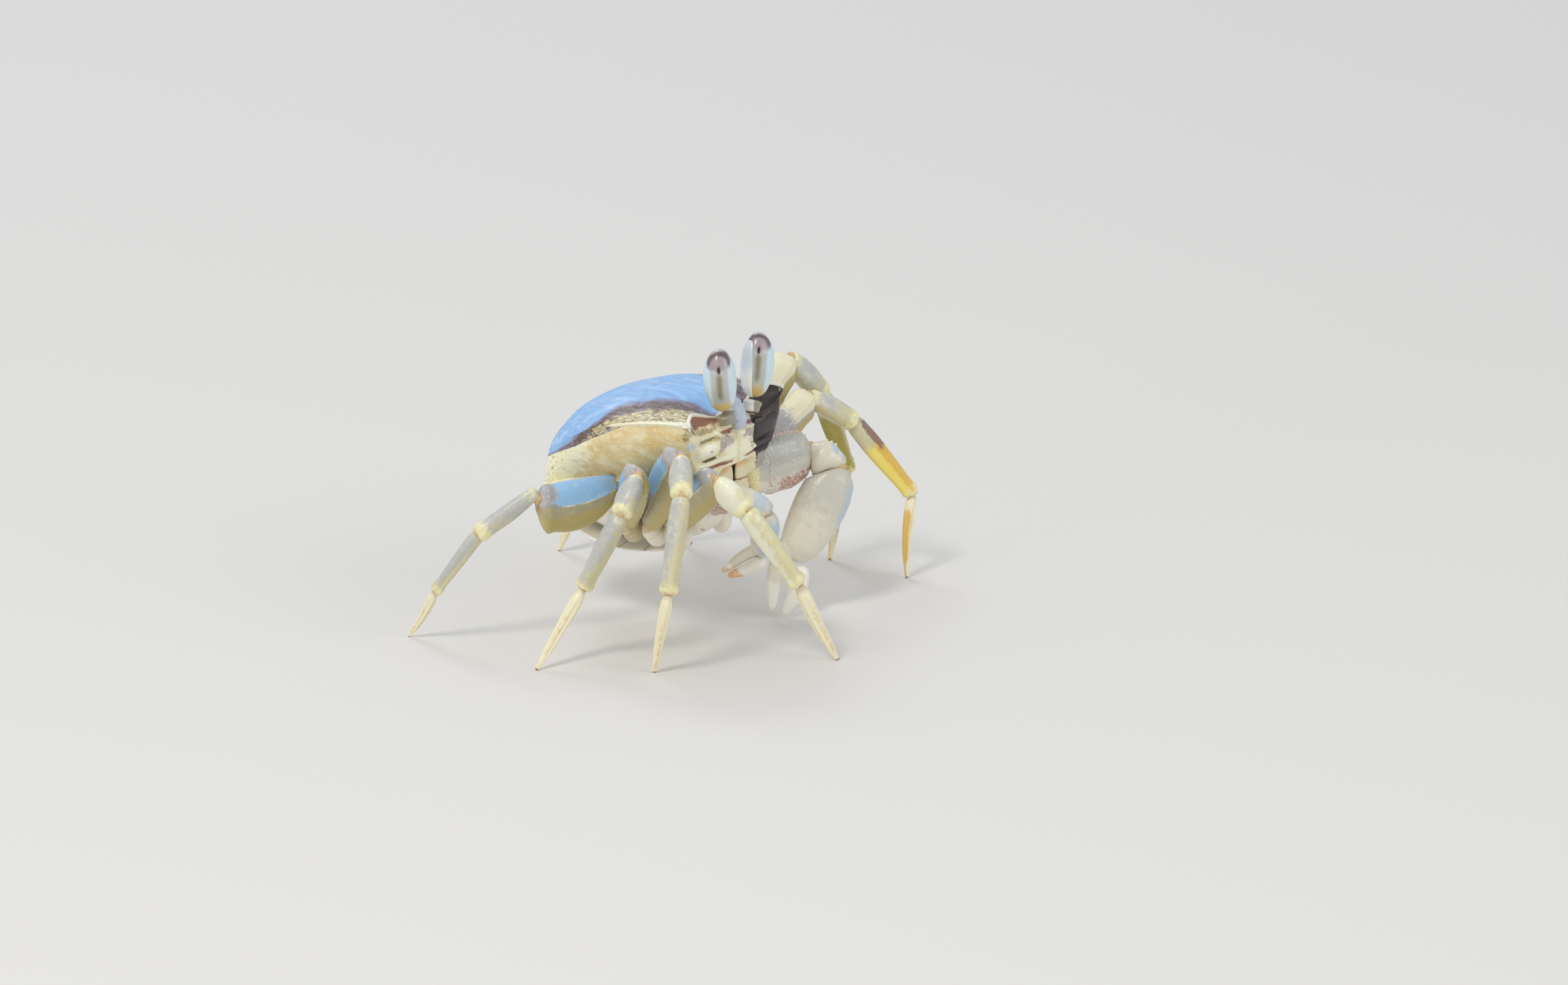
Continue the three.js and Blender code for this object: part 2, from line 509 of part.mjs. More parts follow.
function bellyRing(y, halfWidth, top, bottom) {
  const middle = (top + bottom) / 2;
  const rise = (top - bottom) / 2;
  const corner = 0.72;
  return [[0, 1], [corner, 1], [1, 0.6], [1, -0.5], [corner, -0.92], [0, -1], [-corner, -0.92], [-1, -0.5],
    [-1, 0.6], [-corner, 1]].map(([x, z]) => new THREE.Vector3(x * halfWidth, y, middle + rise * z));
}
const BELLY_TOP = 27.5;
const BELLY_FLOOR = 15.7; // underside of the sternum, just above the folded tail plate
const STERNUM_RINGS = [
  bellyRing(-12.4, 3.2, BELLY_TOP, 21),
  bellyRing(-10, 4.8, BELLY_TOP, 18.4),
  bellyRing(-5, STERNUM_HALF_WIDTH, BELLY_TOP, BELLY_FLOOR + 0.7),
  bellyRing(1, STERNUM_HALF_WIDTH, BELLY_TOP, BELLY_FLOOR),
  bellyRing(8, STERNUM_HALF_WIDTH, BELLY_TOP, BELLY_FLOOR),
  bellyRing(12.5, STERNUM_HALF_WIDTH, 26.6, BELLY_FLOOR + 0.9),
  bellyRing(16.5, 5.1, 25.4, 18.4),
  bellyRing(19, 4.4, 24.3, 20.6),
];
addPiece('sternum', loft(STERNUM_RINGS, new THREE.Vector3(0, -12.8, 25), new THREE.Vector3(0, 19.8, 22.6)),
  bellyFinish);

// The broad tail plate, from behind the shell round under the belly.
addPiece('abdomen', limb({ path: [[0, 22.2, 33], [0, 23, 28], [0, 21.6, 21.6], [0, 17, 16.6],
  [0, 10, 14.3], [0, 2, 14.1], [0, -6, 15.3]], broad: [1, 0, 0],
breadth: [[0, 4.8], [0.2, 5.6], [0.45, 6.6], [0.75, 6.2], [1, 3]],
thickness: [[0, 0.7], [0.5, 0.85], [1, 0.7]], steps: 9, capStart: 0.8, capEnd: 2 }), bellyFinish);

// Stand the crab over the origin.
const extent = new THREE.Box3().setFromObject(crab);
crab.position.set(-(extent.min.x + extent.max.x) / 2, -(extent.min.y + extent.max.y) / 2, 0);

export default crab;
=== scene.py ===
import math

import bpy
import numpy as np
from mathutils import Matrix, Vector
from mathutils.bvhtree import BVHTree
from mathutils.kdtree import KDTree


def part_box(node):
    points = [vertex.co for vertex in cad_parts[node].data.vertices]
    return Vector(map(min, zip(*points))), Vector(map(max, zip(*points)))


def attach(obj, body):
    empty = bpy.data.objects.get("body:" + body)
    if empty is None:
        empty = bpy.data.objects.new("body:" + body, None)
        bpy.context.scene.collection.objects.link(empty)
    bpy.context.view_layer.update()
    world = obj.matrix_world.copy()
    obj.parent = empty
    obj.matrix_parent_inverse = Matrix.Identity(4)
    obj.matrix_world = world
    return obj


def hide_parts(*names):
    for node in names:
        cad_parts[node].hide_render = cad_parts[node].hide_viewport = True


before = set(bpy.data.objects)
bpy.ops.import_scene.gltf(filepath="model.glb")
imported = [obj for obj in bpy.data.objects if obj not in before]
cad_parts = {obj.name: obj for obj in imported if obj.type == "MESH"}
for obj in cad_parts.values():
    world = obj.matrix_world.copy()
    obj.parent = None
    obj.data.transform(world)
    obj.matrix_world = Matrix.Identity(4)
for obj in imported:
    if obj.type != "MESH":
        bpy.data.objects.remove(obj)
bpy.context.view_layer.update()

# ---- Carapace ----
# The hard shell over the back and face: a domed, nearly square box with a beaded ridge along each
# side. It starts as a sphere with its poles at the face and the tail, and each ring is moved out
# onto one section of the shell. Sizes are in millimetres from the crab's own middle line.
MM = 0.001
FACE_Y = -16.6  # the front wall
SHELL_LENGTH = 35.0
shell_low, shell_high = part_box("carapace")
HOME = np.array([(shell_low.x + shell_high.x) / 2, shell_low.y - FACE_Y * MM, 0]) / MM

# Smooth curves of s, which runs from 0 at the front edge to 1 at the rear one.
HALF_WIDTH = [(0, 16.5), (0.04, 17.7), (0.12, 18.2), (0.35, 18.6), (0.6, 17.7), (0.8, 15.7),
              (0.94, 13.6), (1, 12)]
RIDGE_HEIGHT = [(0, 45), (0.2, 44.6), (0.4, 43.4), (0.63, 41.1), (0.81, 37.7), (1, 34)]
CROWN_HEIGHT = [(0, 45.7), (0.08, 46.2), (0.22, 46.9), (0.4, 47.3), (0.62, 46.4), (0.8, 44.2),
                (0.93, 41.2), (1, 38.6)]
BELLY_HEIGHT = [(0, 29.6), (0.12, 28.4), (0.72, 28), (0.84, 27.2), (1, 25)]
# The flank's share of the half width, from the ridge (0) down to the belly (1), beside the legs
# and, fuller, behind them.
FLANK_BESIDE = [(0, 1), (0.18, 1.015), (0.38, 0.97), (0.6, 0.86), (0.8, 0.69), (0.95, 0.48), (1, 0)]
FLANK_BEHIND = [(0, 1), (0.18, 1.02), (0.38, 1.03), (0.6, 1.02), (0.8, 0.96), (0.95, 0.8), (1, 0)]
REAR_SLOPE = 1.4
# How far the brow over the eyes dips, by the distance from the middle.
BROW_DIP = [(0, 2), (5, 2), (9.2, 0.8), (12, 0), (14, -0.4), (17, 0), (20, 0)]

RING_COUNT = 190
SEGMENT_COUNT = 264
FACE_RINGS = 0.3  # part of the rings that make the front wall
TAIL_RINGS = 0.1  # and the rear one
BACK_PART = 0.42  # part of a half section's points that lie above the ridge


def smooth_curve(points, t):
    """A smooth curve through (place, value) pairs, read at the places t."""
    places, values = np.array(points, float).T
    slopes = np.gradient(values, places)
    i = np.clip(np.searchsorted(places, t) - 1, 0, len(places) - 2)
    step = places[i + 1] - places[i]
    u = np.clip((t - places[i]) / step, 0, 1)
    start = values[i] * (1 + 2 * u) * (1 - u) ** 2 + slopes[i] * step * u * (1 - u) ** 2
    return start + values[i + 1] * u * u * (3 - 2 * u) + slopes[i + 1] * step * u * u * (u - 1)


def fade(low, high, x):
    """0 below low, 1 above high, and smooth between them."""
    u = np.clip((x - low) / (high - low), 0, 1)
    return u * u * (3 - 2 * u)


def hump(x, middle, reach):
    """1 at the middle and near 0 past twice the reach."""
    return np.exp(-(((x - middle) / reach) ** 2))


def read_points(piece):
    """A piece's points in millimetres from the crab's own middle."""
    points = np.zeros(len(piece.data.vertices) * 3)
    piece.data.vertices.foreach_get("co", points)
    return points.reshape(-1, 3) / MM - HOME


def move_points(piece, points):
    piece.data.vertices.foreach_set("co", ((points + HOME) * MM).ravel())
    piece.data.update()


def read_normals(piece):
    normals = np.zeros(len(piece.data.vertices) * 3)
    piece.data.vertex_normals.foreach_get("vector", normals)
    return normals.reshape(-1, 3)


def stain(piece, **masks):
    """Lays masks on the piece's points, for its material to read by name. They mostly run from 0,
    for none, to 1, and are cut off at -1 and 1."""
    for name, values in masks.items():
        layer = piece.data.attributes.new(name, "FLOAT", "POINT")
        values = np.broadcast_to(values, len(layer.data))
        layer.data.foreach_set("value", np.clip(values, -1, 1).astype(np.float32))


def pick(piece):
    bpy.ops.object.select_all(action="DESELECT")
    piece.select_set(True)
    bpy.context.view_layer.objects.active = piece


def apply_modifier(piece, kind, **settings):
    pick(piece)
    modifier = piece.modifiers.new(kind.title(), kind)
    for key, value in settings.items():
        setattr(modifier, key, value)
    bpy.ops.object.modifier_apply(modifier=modifier.name)


def add_shape(add, name, **settings):
    """A new basic mesh piece, and its points just as Blender makes them."""
    bpy.ops.object.select_all(action="DESELECT")
    add(**settings)
    piece = bpy.context.active_object
    piece.name = piece.data.name = name
    return piece, np.array([v.co for v in piece.data.vertices])


def face_outwards(piece):
    pick(piece)
    bpy.ops.object.mode_set(mode="EDIT")
    bpy.ops.mesh.select_all(action="SELECT")
    bpy.ops.mesh.normals_make_consistent(inside=False)
    bpy.ops.object.mode_set(mode="OBJECT")
    bpy.ops.object.shade_smooth()


def shell_surface(s, around):
    """Points of the shell at s, where around is 0 on the crown and 1 or -1 under the belly."""
    side = np.sign(around)
    part = np.abs(around)
    width = smooth_curve(HALF_WIDTH, s)
    ridge = smooth_curve(RIDGE_HEIGHT, s)
    crown = smooth_curve(CROWN_HEIGHT, s)
    belly = smooth_curve(BELLY_HEIGHT, s)
    fullness = fade(0.7, 0.94, s)
    q = np.sin(np.clip(part / BACK_PART, 0, 1) * math.pi / 2)
    down = np.clip((part - BACK_PART) / (1 - BACK_PART), 0, 1)
    beside = smooth_curve(FLANK_BESIDE, np.clip(down * 1.25, 0, 1))
    behind = smooth_curve(FLANK_BEHIND, np.clip(down * 1.25, 0, 1))
    share = beside + (behind - beside) * fullness
    above = part <= BACK_PART
    x = np.where(above, width * q, width * share)
    dome = ridge + (crown - ridge) * np.clip(1 - q ** 2.4, 0, 1) ** 0.8
    z = np.where(above, dome, ridge + (belly - ridge) * np.clip(down * 1.25, 0, 1))
    lower = np.clip((ridge - z) / (ridge - belly), 0, 1)
    y = -16 + SHELL_LENGTH * s + fullness * REAR_SLOPE * lower
    return np.stack([side * x, y, z], 1), (crown + belly) / 2


shell, ball = add_shape(bpy.ops.mesh.primitive_uv_sphere_add, "carapace_shell",
                        segments=SEGMENT_COUNT, ring_count=RING_COUNT, radius=1)
ring = np.arccos(np.clip(ball[:, 2], -1, 1)) / math.pi
around = np.arctan2(ball[:, 0], ball[:, 1]) / math.pi
s = np.clip((ring - FACE_RINGS) / (1 - FACE_RINGS - TAIL_RINGS), 0, 1)
squeeze = np.minimum(np.clip(ring / FACE_RINGS, 0, 1), np.clip((1 - ring) / TAIL_RINGS, 0, 1))
points, middle = shell_surface(s, around)
points[:, 0] *= squeeze
points[:, 2] = middle + (points[:, 2] - middle) * squeeze
on_face = ring < FACE_RINGS
on_tail = ring > 1 - TAIL_RINGS
points[:, 1] += np.where(on_face, -0.6 * (1 - squeeze ** 5), 0)
points[:, 1] += np.where(on_tail, 0.6 * (1 - squeeze ** 4), 0)
points[:, 2] -= (smooth_curve(BROW_DIP, np.abs(points[:, 0])) * fade(-8, -14.5, points[:, 1])
                 * fade(41, 44, points[:, 2]))
move_points(shell, points)
face_outwards(shell)

# Relief of the back: the H-shaped groove in its middle, and the two grooves that run from it to
# the eye sockets and to the rear corners.
GROOVES = [
    [(4.6, -4.5), (4.3, 0.5), (4.9, 5.5), (7.2, 10.5), (8.4, 14.5)],
    [(0, 1.2), (4.3, 0.9)],
    [(4.6, -4.5), (6.6, -8.2), (10.2, -10.6)],
    [(4.3, 0.9), (8.4, -1.6), (13.2, -2.4)],
]
GROOVE_DEPTH = 0.3
GROOVE_REACH = 0.75


def distance_to_line(x, y, line):
    """Distance in plan from each point to a bent line."""
    best = np.full(len(x), 1e9)
    for (ax, ay), (bx, by) in zip(line, line[1:]):
        dx, dy = bx - ax, by - ay
        t = np.clip(((x - ax) * dx + (y - ay) * dy) / (dx * dx + dy * dy), 0, 1)
        best = np.minimum(best, np.hypot(x - ax - t * dx, y - ay - t * dy))
    return best


normals = read_normals(shell)
ridge_z = smooth_curve(RIDGE_HEIGHT, s)
share = np.abs(points[:, 0]) / smooth_curve(HALF_WIDTH, s)
on_back = fade(0.0, 0.8, points[:, 2] - ridge_z) * (~on_face)
groove = np.zeros(len(points))
for line in GROOVES:
    distance = distance_to_line(np.abs(points[:, 0]), points[:, 1], line)
    groove = np.maximum(groove, hump(distance, 0, GROOVE_REACH))
lift = -GROOVE_DEPTH * groove * on_back
lift += 0.25 * on_back * hump(share, 0.62, 0.16) * hump(points[:, 1], 3, 9)
lift += 0.3 * (~on_face) * (~on_tail) * hump(np.abs(around), BACK_PART, 0.006) * (1 - fade(0.8, 0.95, s))
points += normals * lift[:, None]

# The face: soft cream lobes below the sockets, the grooves round them, and the mouth frame. Each
# lobe is (x, z, half width, half height, how far it stands out), and a groove goes in.
LOBES = [(10.3, 38.5, 3.9, 1.3, 0.9), (2.7, 36.1, 2.5, 2.2, 0.9), (14.9, 41, 1.6, 2.2, 0.5),
         (3.9, 39.6, 2.4, 1.0, 0.5), (7.8, 41.6, 0.9, 0.8, 1.6), (0.4, 39.8, 0.9, 0.9, 1.4),
         (9, 35.6, 6, 0.45, 0.5)]
FACE_GROOVES = [(9.6, 36.5, 3.0, 0.25, -0.5), (8.4, 34.7, 6.0, 0.28, -0.5), (6.1, 38.0, 0.35, 1.8, -0.5),
                (10.5, 40.2, 3.6, 0.25, -0.4)]
MOUTH_HALF_WIDTH = 5.4
MOUTH_TOP = 33.6
MOUTH_DEPTH = 1.5

face_weight = on_face * fade(0, 0.08, 1 - squeeze)
x, z = np.abs(points[:, 0]), points[:, 2]
relief = np.zeros(len(points))
for centre, height, wide, tall, out in LOBES + FACE_GROOVES:
    relief += (out * np.exp(-(np.abs((x - centre) / wide) ** 3))
               * np.exp(-(np.abs((z - height) / tall) ** 2.4)))
mouth = fade(0, 0.5, MOUTH_HALF_WIDTH - x) * fade(0, 0.5, MOUTH_TOP - z)
points[:, 1] += face_weight * (MOUTH_DEPTH * mouth - relief * (1 - mouth))

# The two eye sockets: hollows that are open to the front and above.
SOCKET = (9.6, -17.7, 44.7)
SOCKET_RADII = (7.9, 3.9, 3.5)
room = (1 - ((np.abs(points[:, 0]) - SOCKET[0]) / SOCKET_RADII[0]) ** 2
        - ((points[:, 2] - SOCKET[2]) / SOCKET_RADII[2]) ** 2)
socket_back = SOCKET[1] + SOCKET_RADII[1] * np.sqrt(np.clip(room, 0, 1))
in_socket = (room > 0) & (points[:, 1] < socket_back) & (points[:, 1] < -12)
points[in_socket, 1] = socket_back[in_socket]
move_points(shell, points)


def colour(code, strength=1.0):
    """A colour written as #rrggbb, as the shader wants it."""
    parts = [int(code[i:i + 2], 16) / 255 for i in (1, 3, 5)]
    return [((p + 0.055) / 1.055) ** 2.4 if p > 0.04045 else p / 12.92 for p in parts] + [strength]


EVEN = (1, 1, 1)
NOISE_REACH = 5  # stretches the noise, which mostly lies near 0.5, to about -1 to 1


def hard_finish(name, ground, coats, roughness=0.42, gloss=0.25, grain=(0.35, 0.3), flesh=0.0):
    """Shell material. Over the ground colour, each coat lays its colour where its mask is strong:
    (mask, colour, low, high, ragged, patch size in mm, stretch, strength). The stretch may be left
    out, and an empty mask lays the coat in blotches all over. Ragged is how far noise breaks it
    into patches, or into a net of veins where it is negative. Grain is the size in mm and the
    strength of the fine granules."""
    material = bpy.data.materials.new(name)
    material.use_nodes = True
    nodes, links = material.node_tree.nodes, material.node_tree.links
    shader = nodes["Principled BSDF"]

    def fill(target, plugs):
        for plug, value in plugs.items():
            if isinstance(value, bpy.types.NodeSocket):
                links.new(value, target.inputs[plug])
            else:
                target.inputs[plug].default_value = value

    def node(kind, plugs, out=0, **settings):
        """A new shader node's output. Each plug has a value or the socket that it reads."""
        made = nodes.new("ShaderNode" + kind)
        for key, value in settings.items():
            setattr(made, key, value)
        fill(made, plugs)
        return made.outputs[out]

    place = node("TexCoord", {}, "Object")

    def spots(size, stretch):
        return node("Mapping", {"Vector": place, "Scale": [1 / (MM * size * k) for k in stretch]})

    def noise(size, stretch=EVEN):
        return node("TexNoise", {"Vector": spots(size, stretch), "Scale": 1, "Detail": 5, "Roughness": 0.6})

    def veins(size, stretch):
        cells = node("TexVoronoi", {"Vector": spots(size, stretch), "Scale": 1},
                     feature="DISTANCE_TO_EDGE")
        return node("Math", {0: cells, 1: -2.2, 2: 0.75}, operation="MULTIPLY_ADD")

    shade = colour(ground)
    for mask, tint, low, high, ragged, size, *stretch, strength in coats:
        pattern = noise if ragged >= 0 else veins
        reach = abs(ragged) * NOISE_REACH
        amount = node("Math", {0: pattern(size, *(stretch or [EVEN])), 1: reach, 2: -reach / 2},
                      operation="MULTIPLY_ADD")
        if mask:
            amount = node("Math", {0: node("Attribute", {}, "Fac", attribute_name=mask), 1: amount})
        edge = node("MapRange", {"Value": amount, "From Min": low, "From Max": high, "To Max": strength},
                    interpolation_type="SMOOTHSTEP")
        shade = node("Mix", {"Factor": edge, "A": shade, "B": colour(tint)}, "Result", data_type="RGBA")

    grain_size, grain_strength = grain
    cells = node("TexVoronoi", {"Vector": place, "Scale": 1 / (MM * grain_size)})
    pits = node("Bump", {"Strength": grain_strength, "Distance": grain_size * 0.3 * MM, "Height": cells},
                invert=True)
    fill(shader, {
        "Base Color": shade,
        "Normal": node("Bump", {"Strength": 0.35, "Distance": 0.25 * MM, "Height": noise(1.3),
                                "Normal": pits}),
        "Roughness": node("MapRange", {"Value": noise(0.9), "To Min": roughness - 0.1,
                                       "To Max": roughness + 0.12}),
        "Coat Weight": gloss, "Coat Roughness": 0.22,
        "Subsurface Weight": flesh, "Subsurface Radius": (0.0012, 0.0009, 0.0006), "Subsurface Scale": 1.0,
    })
    return material


def set_in(piece, finish, node=""):
    """Gives a piece its material and its body, hanging it under "body:root", and hides the CAD node that it
    stands for.
    """
    piece.data.materials.append(finish)
    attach(piece, "root")
    if node:
        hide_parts(node)


# Masks for the shell's markings.
points = read_points(shell)
normals = read_normals(shell)
x, y, z = points.T
wide = np.abs(x)
below_ridge = ridge_z - z


def patch(centre, height, half_width, half_height):
    """A soft-edged oval on the face, the same on both halves."""
    return on_face * np.exp(-(np.abs((wide - centre) / half_width) ** 4)
                            - np.abs((z - height) / half_height) ** 4)


# Where the sky-blue of the back, a painted reflection of the sky, ends and where the brown band
# under it ends, as parts of the way round from the crown to the belly, by s.
SKY_REFLECTION_END = [(0, 0.04), (0.13, 0.08), (0.29, 0.13), (0.43, 0.18), (0.53, 0.23), (0.61, 0.33), (0.67, 0.385),
           (0.76, 0.43), (0.87, 0.47), (1, 0.48)]
BAND_END = [(0, 0.425), (0.4, 0.43), (0.54, 0.47), (0.68, 0.5), (1, 0.5)]
off_face = 1 - on_face
turn = np.abs(around)
past_sky = turn - smooth_curve(SKY_REFLECTION_END, s)
past_band = turn - smooth_curve(BAND_END, s)
above = fade(0.012, -0.008, past_band) * off_face
flank = (1 - above) * off_face
shell_masks = {
    "back": above,
    # Painted reflection of the sky on the upper back.
    "sky": fade(0.05, -0.05, past_sky) * off_face,
    "mottle": above * fade(-0.03, 0.05, past_sky),
    "freckle": above * fade(0.03, 0.13, past_sky) * (1 - 0.5 * fade(0.5, 0.9, s)),
    "ridge": hump(below_ridge, 0.0, 0.42) * (1 - fade(0.42, 0.6, s)) * off_face * fade(0.8, 0.95, share),
    "flank": flank,
    "rear": flank * fade(0.42, 0.8, s - 0.02 * below_ridge),
    "dusk": off_face * hump(past_band, -0.01, 0.022) * fade(0.4, 0.6, s),
    "underside": fade(29.6, 28.2, z) * (1 - fade(0.7, 1, s)),
    "cream": (patch(10.3, 38.5, 3.9, 1.4) + patch(2.7, 36, 2.7, 2.4) + patch(7.8, 41.7, 0.9, 0.9)
              + patch(0.4, 39.8, 0.9, 0.9) + patch(9, 35.6, 5.6, 0.5)),
    "speckle": 0.85 * patch(4.2, 38.8, 3.0, 2.1),
    # olive: two olive strips on the face, and painted shade in the outer hollow of each socket and under
    # its tooth.
    "olive": (patch(11, 40.5, 3.4, 0.45) + 0.8 * patch(6.2, 37.6, 0.35, 1.8)
              + 0.9 * in_socket * fade(0.05, 0.3, room) * fade(12.6, 14, wide)
              + 0.8 * hump(y, -15.6, 1.1) * hump(z, 42.4, 1.7) * fade(14, 16, wide)),
    "ring": on_face * hump(np.hypot((wide - 10.4) * 0.7, z - 38.5), 0.9, 0.5),
    "spot": (on_face * hump(np.hypot((wide - 10.4) * 0.6, z - 38.3 - 0.1 * (wide - 10)), 0, 0.4)
             + 0.8 * on_face * hump(x, 4.2, 1.7) * hump(z, 36.6, 1.8)),
    # bluish: a painted highlight on each front corner under the socket tooth, and two bluish patches on the
    # far half of the face.
    "bluish": (0.8 * hump(z, 40.6, 1.4) * hump(y, -16.2, 1.0) * fade(14, 16, wide)
               + on_face * (0.9 * hump(x, 3.2, 2.2) * hump(z, 41, 1.5)
                            + hump(x, 2.5, 0.9) * hump(z, 33.6, 0.6))),
    "rust": (in_socket * fade(0.05, 0.4, room) * fade(14, 12.4, wide) * fade(41.6, 43.4, z)
             + 1.2 * patch(7.7, 34.65, 6.2, 0.38) + 1.2 * patch(4.2, 40.9, 2.7, 0.4)),
    "dark": patch(9.6, 36.4, 2.8, 0.28) + on_face * 0.7 * mouth,
    "pit": in_socket * fade(0.02, 0.3, room) * fade(43.6, 41.5, z),
    # Painted shadow over the far half of the face, on its own dark brown-purple.
    "shade": fade(5.2, 6.2, x + 0.25 * (z - 38)) * fade(18.5, 17, x) * on_face
              * np.maximum(fade(32.6, 34.4, z), fade(30.5, 31.5, z) * fade(8, 7.2, x)) * fade(46, 45, z),
    # Painted shade on the far half of the face below the dark patch.
    "painted_far_shade": on_face * fade(6.4, 7.4, x) * fade(35.2, 34, z) * fade(29, 30, z),
}
stain(shell, **shell_masks)

shell_finish = hard_finish("shell finish", "#f1e6bd", [
    ("flank", "#e6c47e", 0.45, 1.3, 0.45, 2.4, (1, 1.8, 1), 0.9),
    ("flank", "#faf1c8", 1.0, 1.6, 0.5, 1.1, (1, 1.5, 1), 0.85),
    ("flank", "#b08d58", 1.35, 1.75, 0.45, 0.6, (1, 2.4, 1), 0.6),
    ("rear", "#fffbd6", 0.15, 0.7, 0.4, 1.5, 0.95),
    ("rear", "#a8905f", 1.0, 1.5, 0.55, 0.9, 0.75),
    ("rear", "#7d6a5a", 1.05, 1.5, -0.26, 2.3, 0.3),
    ("dusk", "#6d5550", 0.5, 0.95, 0.5, 1.1, (1, 2, 1), 0.85),
    ("back", "#8f8494", 0.3, 0.7, 0.1, 2, 1),
    ("mottle", "#62503f", 0.55, 1.15, 0.55, 0.9, (1, 3, 1), 0.9),
    ("freckle", "#cdbd8c", 0.55, 1.05, 0.6, 0.75, (1, 2.4, 1), 0.85),
    ("freckle", "#f0e7bf", 1.0, 1.4, 0.6, 0.6, (1, 1.7, 1), 0.95),
    # The sky coats are painted reflection of the sky on the wet back, from lavender into pale blue.
    ("sky", "#8f97c4", 0.1, 0.6, 0.35, 1.5, (1, 4.5, 1), 0.6),
    ("sky", "#93c6f7", 0.25, 0.8, 0.3, 1.7, (1, 4.5, 1), 0.93),
    ("sky", "#8b9ada", 1.0, 1.45, 0.5, 1.0, (1, 7, 1), 0.6),
    ("sky", "#cde4fc", 1.0, 1.5, 0.5, 1.9, (1, 4, 1), 0.65),
    ("ridge", "#f8f2d6", 0.35, 0.7, 0.2, 0.8, 0.95),
    ("speckle", "#a99ca3", 0.3, 0.95, 0.5, 0.5, 0.85),
    # The olive coat holds painted shade in the outer socket hollows.
    ("olive", "#80713f", 0.4, 0.9, 0.3, 0.8, 0.85),
    ("cream", "#fdf7d9", 0.35, 0.8, 0.3, 0.9, 0.95),
    ("ring", "#fdfbf0", 0.4, 1.0, 0.35, 0.6, 0.9),
    ("spot", "#8f918b", 0.4, 1.0, 0.4, 0.5, 0.75),
    # The bluish coat holds a painted highlight on the front corners.
    ("bluish", "#c6d4e6", 0.35, 0.9, 0.25, 1.2, 0.85),
    ("pit", "#a58d5d", 0.35, 0.95, 0.3, 0.8, 0.8),
    ("rust", "#8f473c", 0.35, 0.9, 0.3, 0.8, 0.85),
    ("dark", "#3d3128", 0.4, 0.8, 0.15, 0.7, 0.92),
    # Painted shade, grey, on the far half of the face under the dark patch.
    ("painted_far_shade", "#a3a196", 0.3, 0.8, 0.3, 1.2, 0.9),
    # Painted shadow on the far half of the face, over its dark brown-purple, with paler flecks.
    ("shade", "#2c1f27", 0.35, 0.75, 0.07, 1.2, 0.97),
    ("shade", "#6b5560", 1.25, 1.6, 0.4, 0.6, 0.6),
    ("underside", "#efe9d8", 0.3, 0.9, 0.2, 2, 0.9),
], roughness=0.46, gloss=0.18, grain=(0.4, 0.5))
set_in(shell, shell_finish, "carapace")

# ---- Ridges, rims and granules of the shell ----
# The beaded edge along each side and round each eye socket, and the loose granules of the
# shoulders. All of it is shell, grown in one piece with the carapace.
BEAD_RADIUS = 0.2
SOCKET_RIM_RADIUS = 0.34


def lay_beads(name, places, radii, squash=0.75):
    """One mesh of many small beads. The first is modelled, and the rest are copies of its points."""
    bead, shape = add_shape(bpy.ops.mesh.primitive_ico_sphere_add, name, subdivisions=2, radius=1)
    faces = np.array([f.vertices for f in bead.data.polygons])
    places = np.asarray(places, float)
    radii = np.broadcast_to(radii, len(places))
    shape = shape * [1, 1, squash]
    points = (shape[None] * radii[:, None, None] + places[:, None]).reshape(-1, 3)
    corners = (faces[None] + (np.arange(len(places)) * len(shape))[:, None, None]).reshape(-1, 3)
    bead.data.clear_geometry()
    bead.data.from_pydata(((points + HOME) * MM).tolist(), [], corners.tolist())
    pick(bead)
    bpy.ops.object.shade_smooth()
    return bead


def lay_cord(name, path, radius, closed=False, sides=3):
    """A round bar of changing radius along a path of points, as one mesh."""
    line = bpy.data.curves.new(name, "CURVE")
    line.dimensions = "3D"
    line.bevel_depth = MM
    line.bevel_resolution = sides
    line.use_fill_caps = True
    spline = line.splines.new("POLY")
    spline.points.add(len(path) - 1)
    radius = np.broadcast_to(radius, len(path))
    for point, place, size in zip(spline.points, path, radius):
        point.co = (*((np.array(place) + HOME) * MM), 1)
        point.radius = size
    spline.use_cyclic_u = closed
    bar = bpy.data.objects.new(name, line)
    bpy.context.collection.objects.link(bar)
    pick(bar)
    bpy.ops.object.convert(target="MESH")
    bpy.ops.object.shade_smooth()
    bar = bpy.context.active_object
    bar.name = bar.data.name = name
    return bar


def join_pieces(pieces, name):
    bpy.ops.object.select_all(action="DESELECT")
    for piece in pieces:
        piece.select_set(True)
    bpy.context.view_layer.objects.active = pieces[0]
    bpy.ops.object.join()
    pieces[0].name = pieces[0].data.name = name
    return pieces[0]


def socket_rim(side, steps=90):
    """The edge of one eye socket, from its outer end over the top, down and back underneath."""
    turn = np.linspace(0, 2 * math.pi, steps, endpoint=False)
    x = SOCKET[0] + SOCKET_RADII[0] * 0.93 * np.cos(turn)
    z = SOCKET[2] + SOCKET_RADII[2] * 0.93 * np.sin(turn)
    roof = 45.6 - smooth_curve(BROW_DIP, x) - 0.5 * fade(14.5, 17, x)
    z = np.minimum(z, roof)
    room = 1 - ((x - SOCKET[0]) / SOCKET_RADII[0]) ** 2 - ((z - SOCKET[2]) / SOCKET_RADII[2]) ** 2
    y = np.maximum(SOCKET[1] + SOCKET_RADII[1] * np.sqrt(np.clip(room, 0, 1)), FACE_Y + 0.05)
    for _ in range(3):
        y = (np.roll(y, 1) + 2 * y + np.roll(y, -1)) / 4
        z = (np.roll(z, 1) + 2 * z + np.roll(z, -1)) / 4
    return np.stack([side * x, y, z], 1)


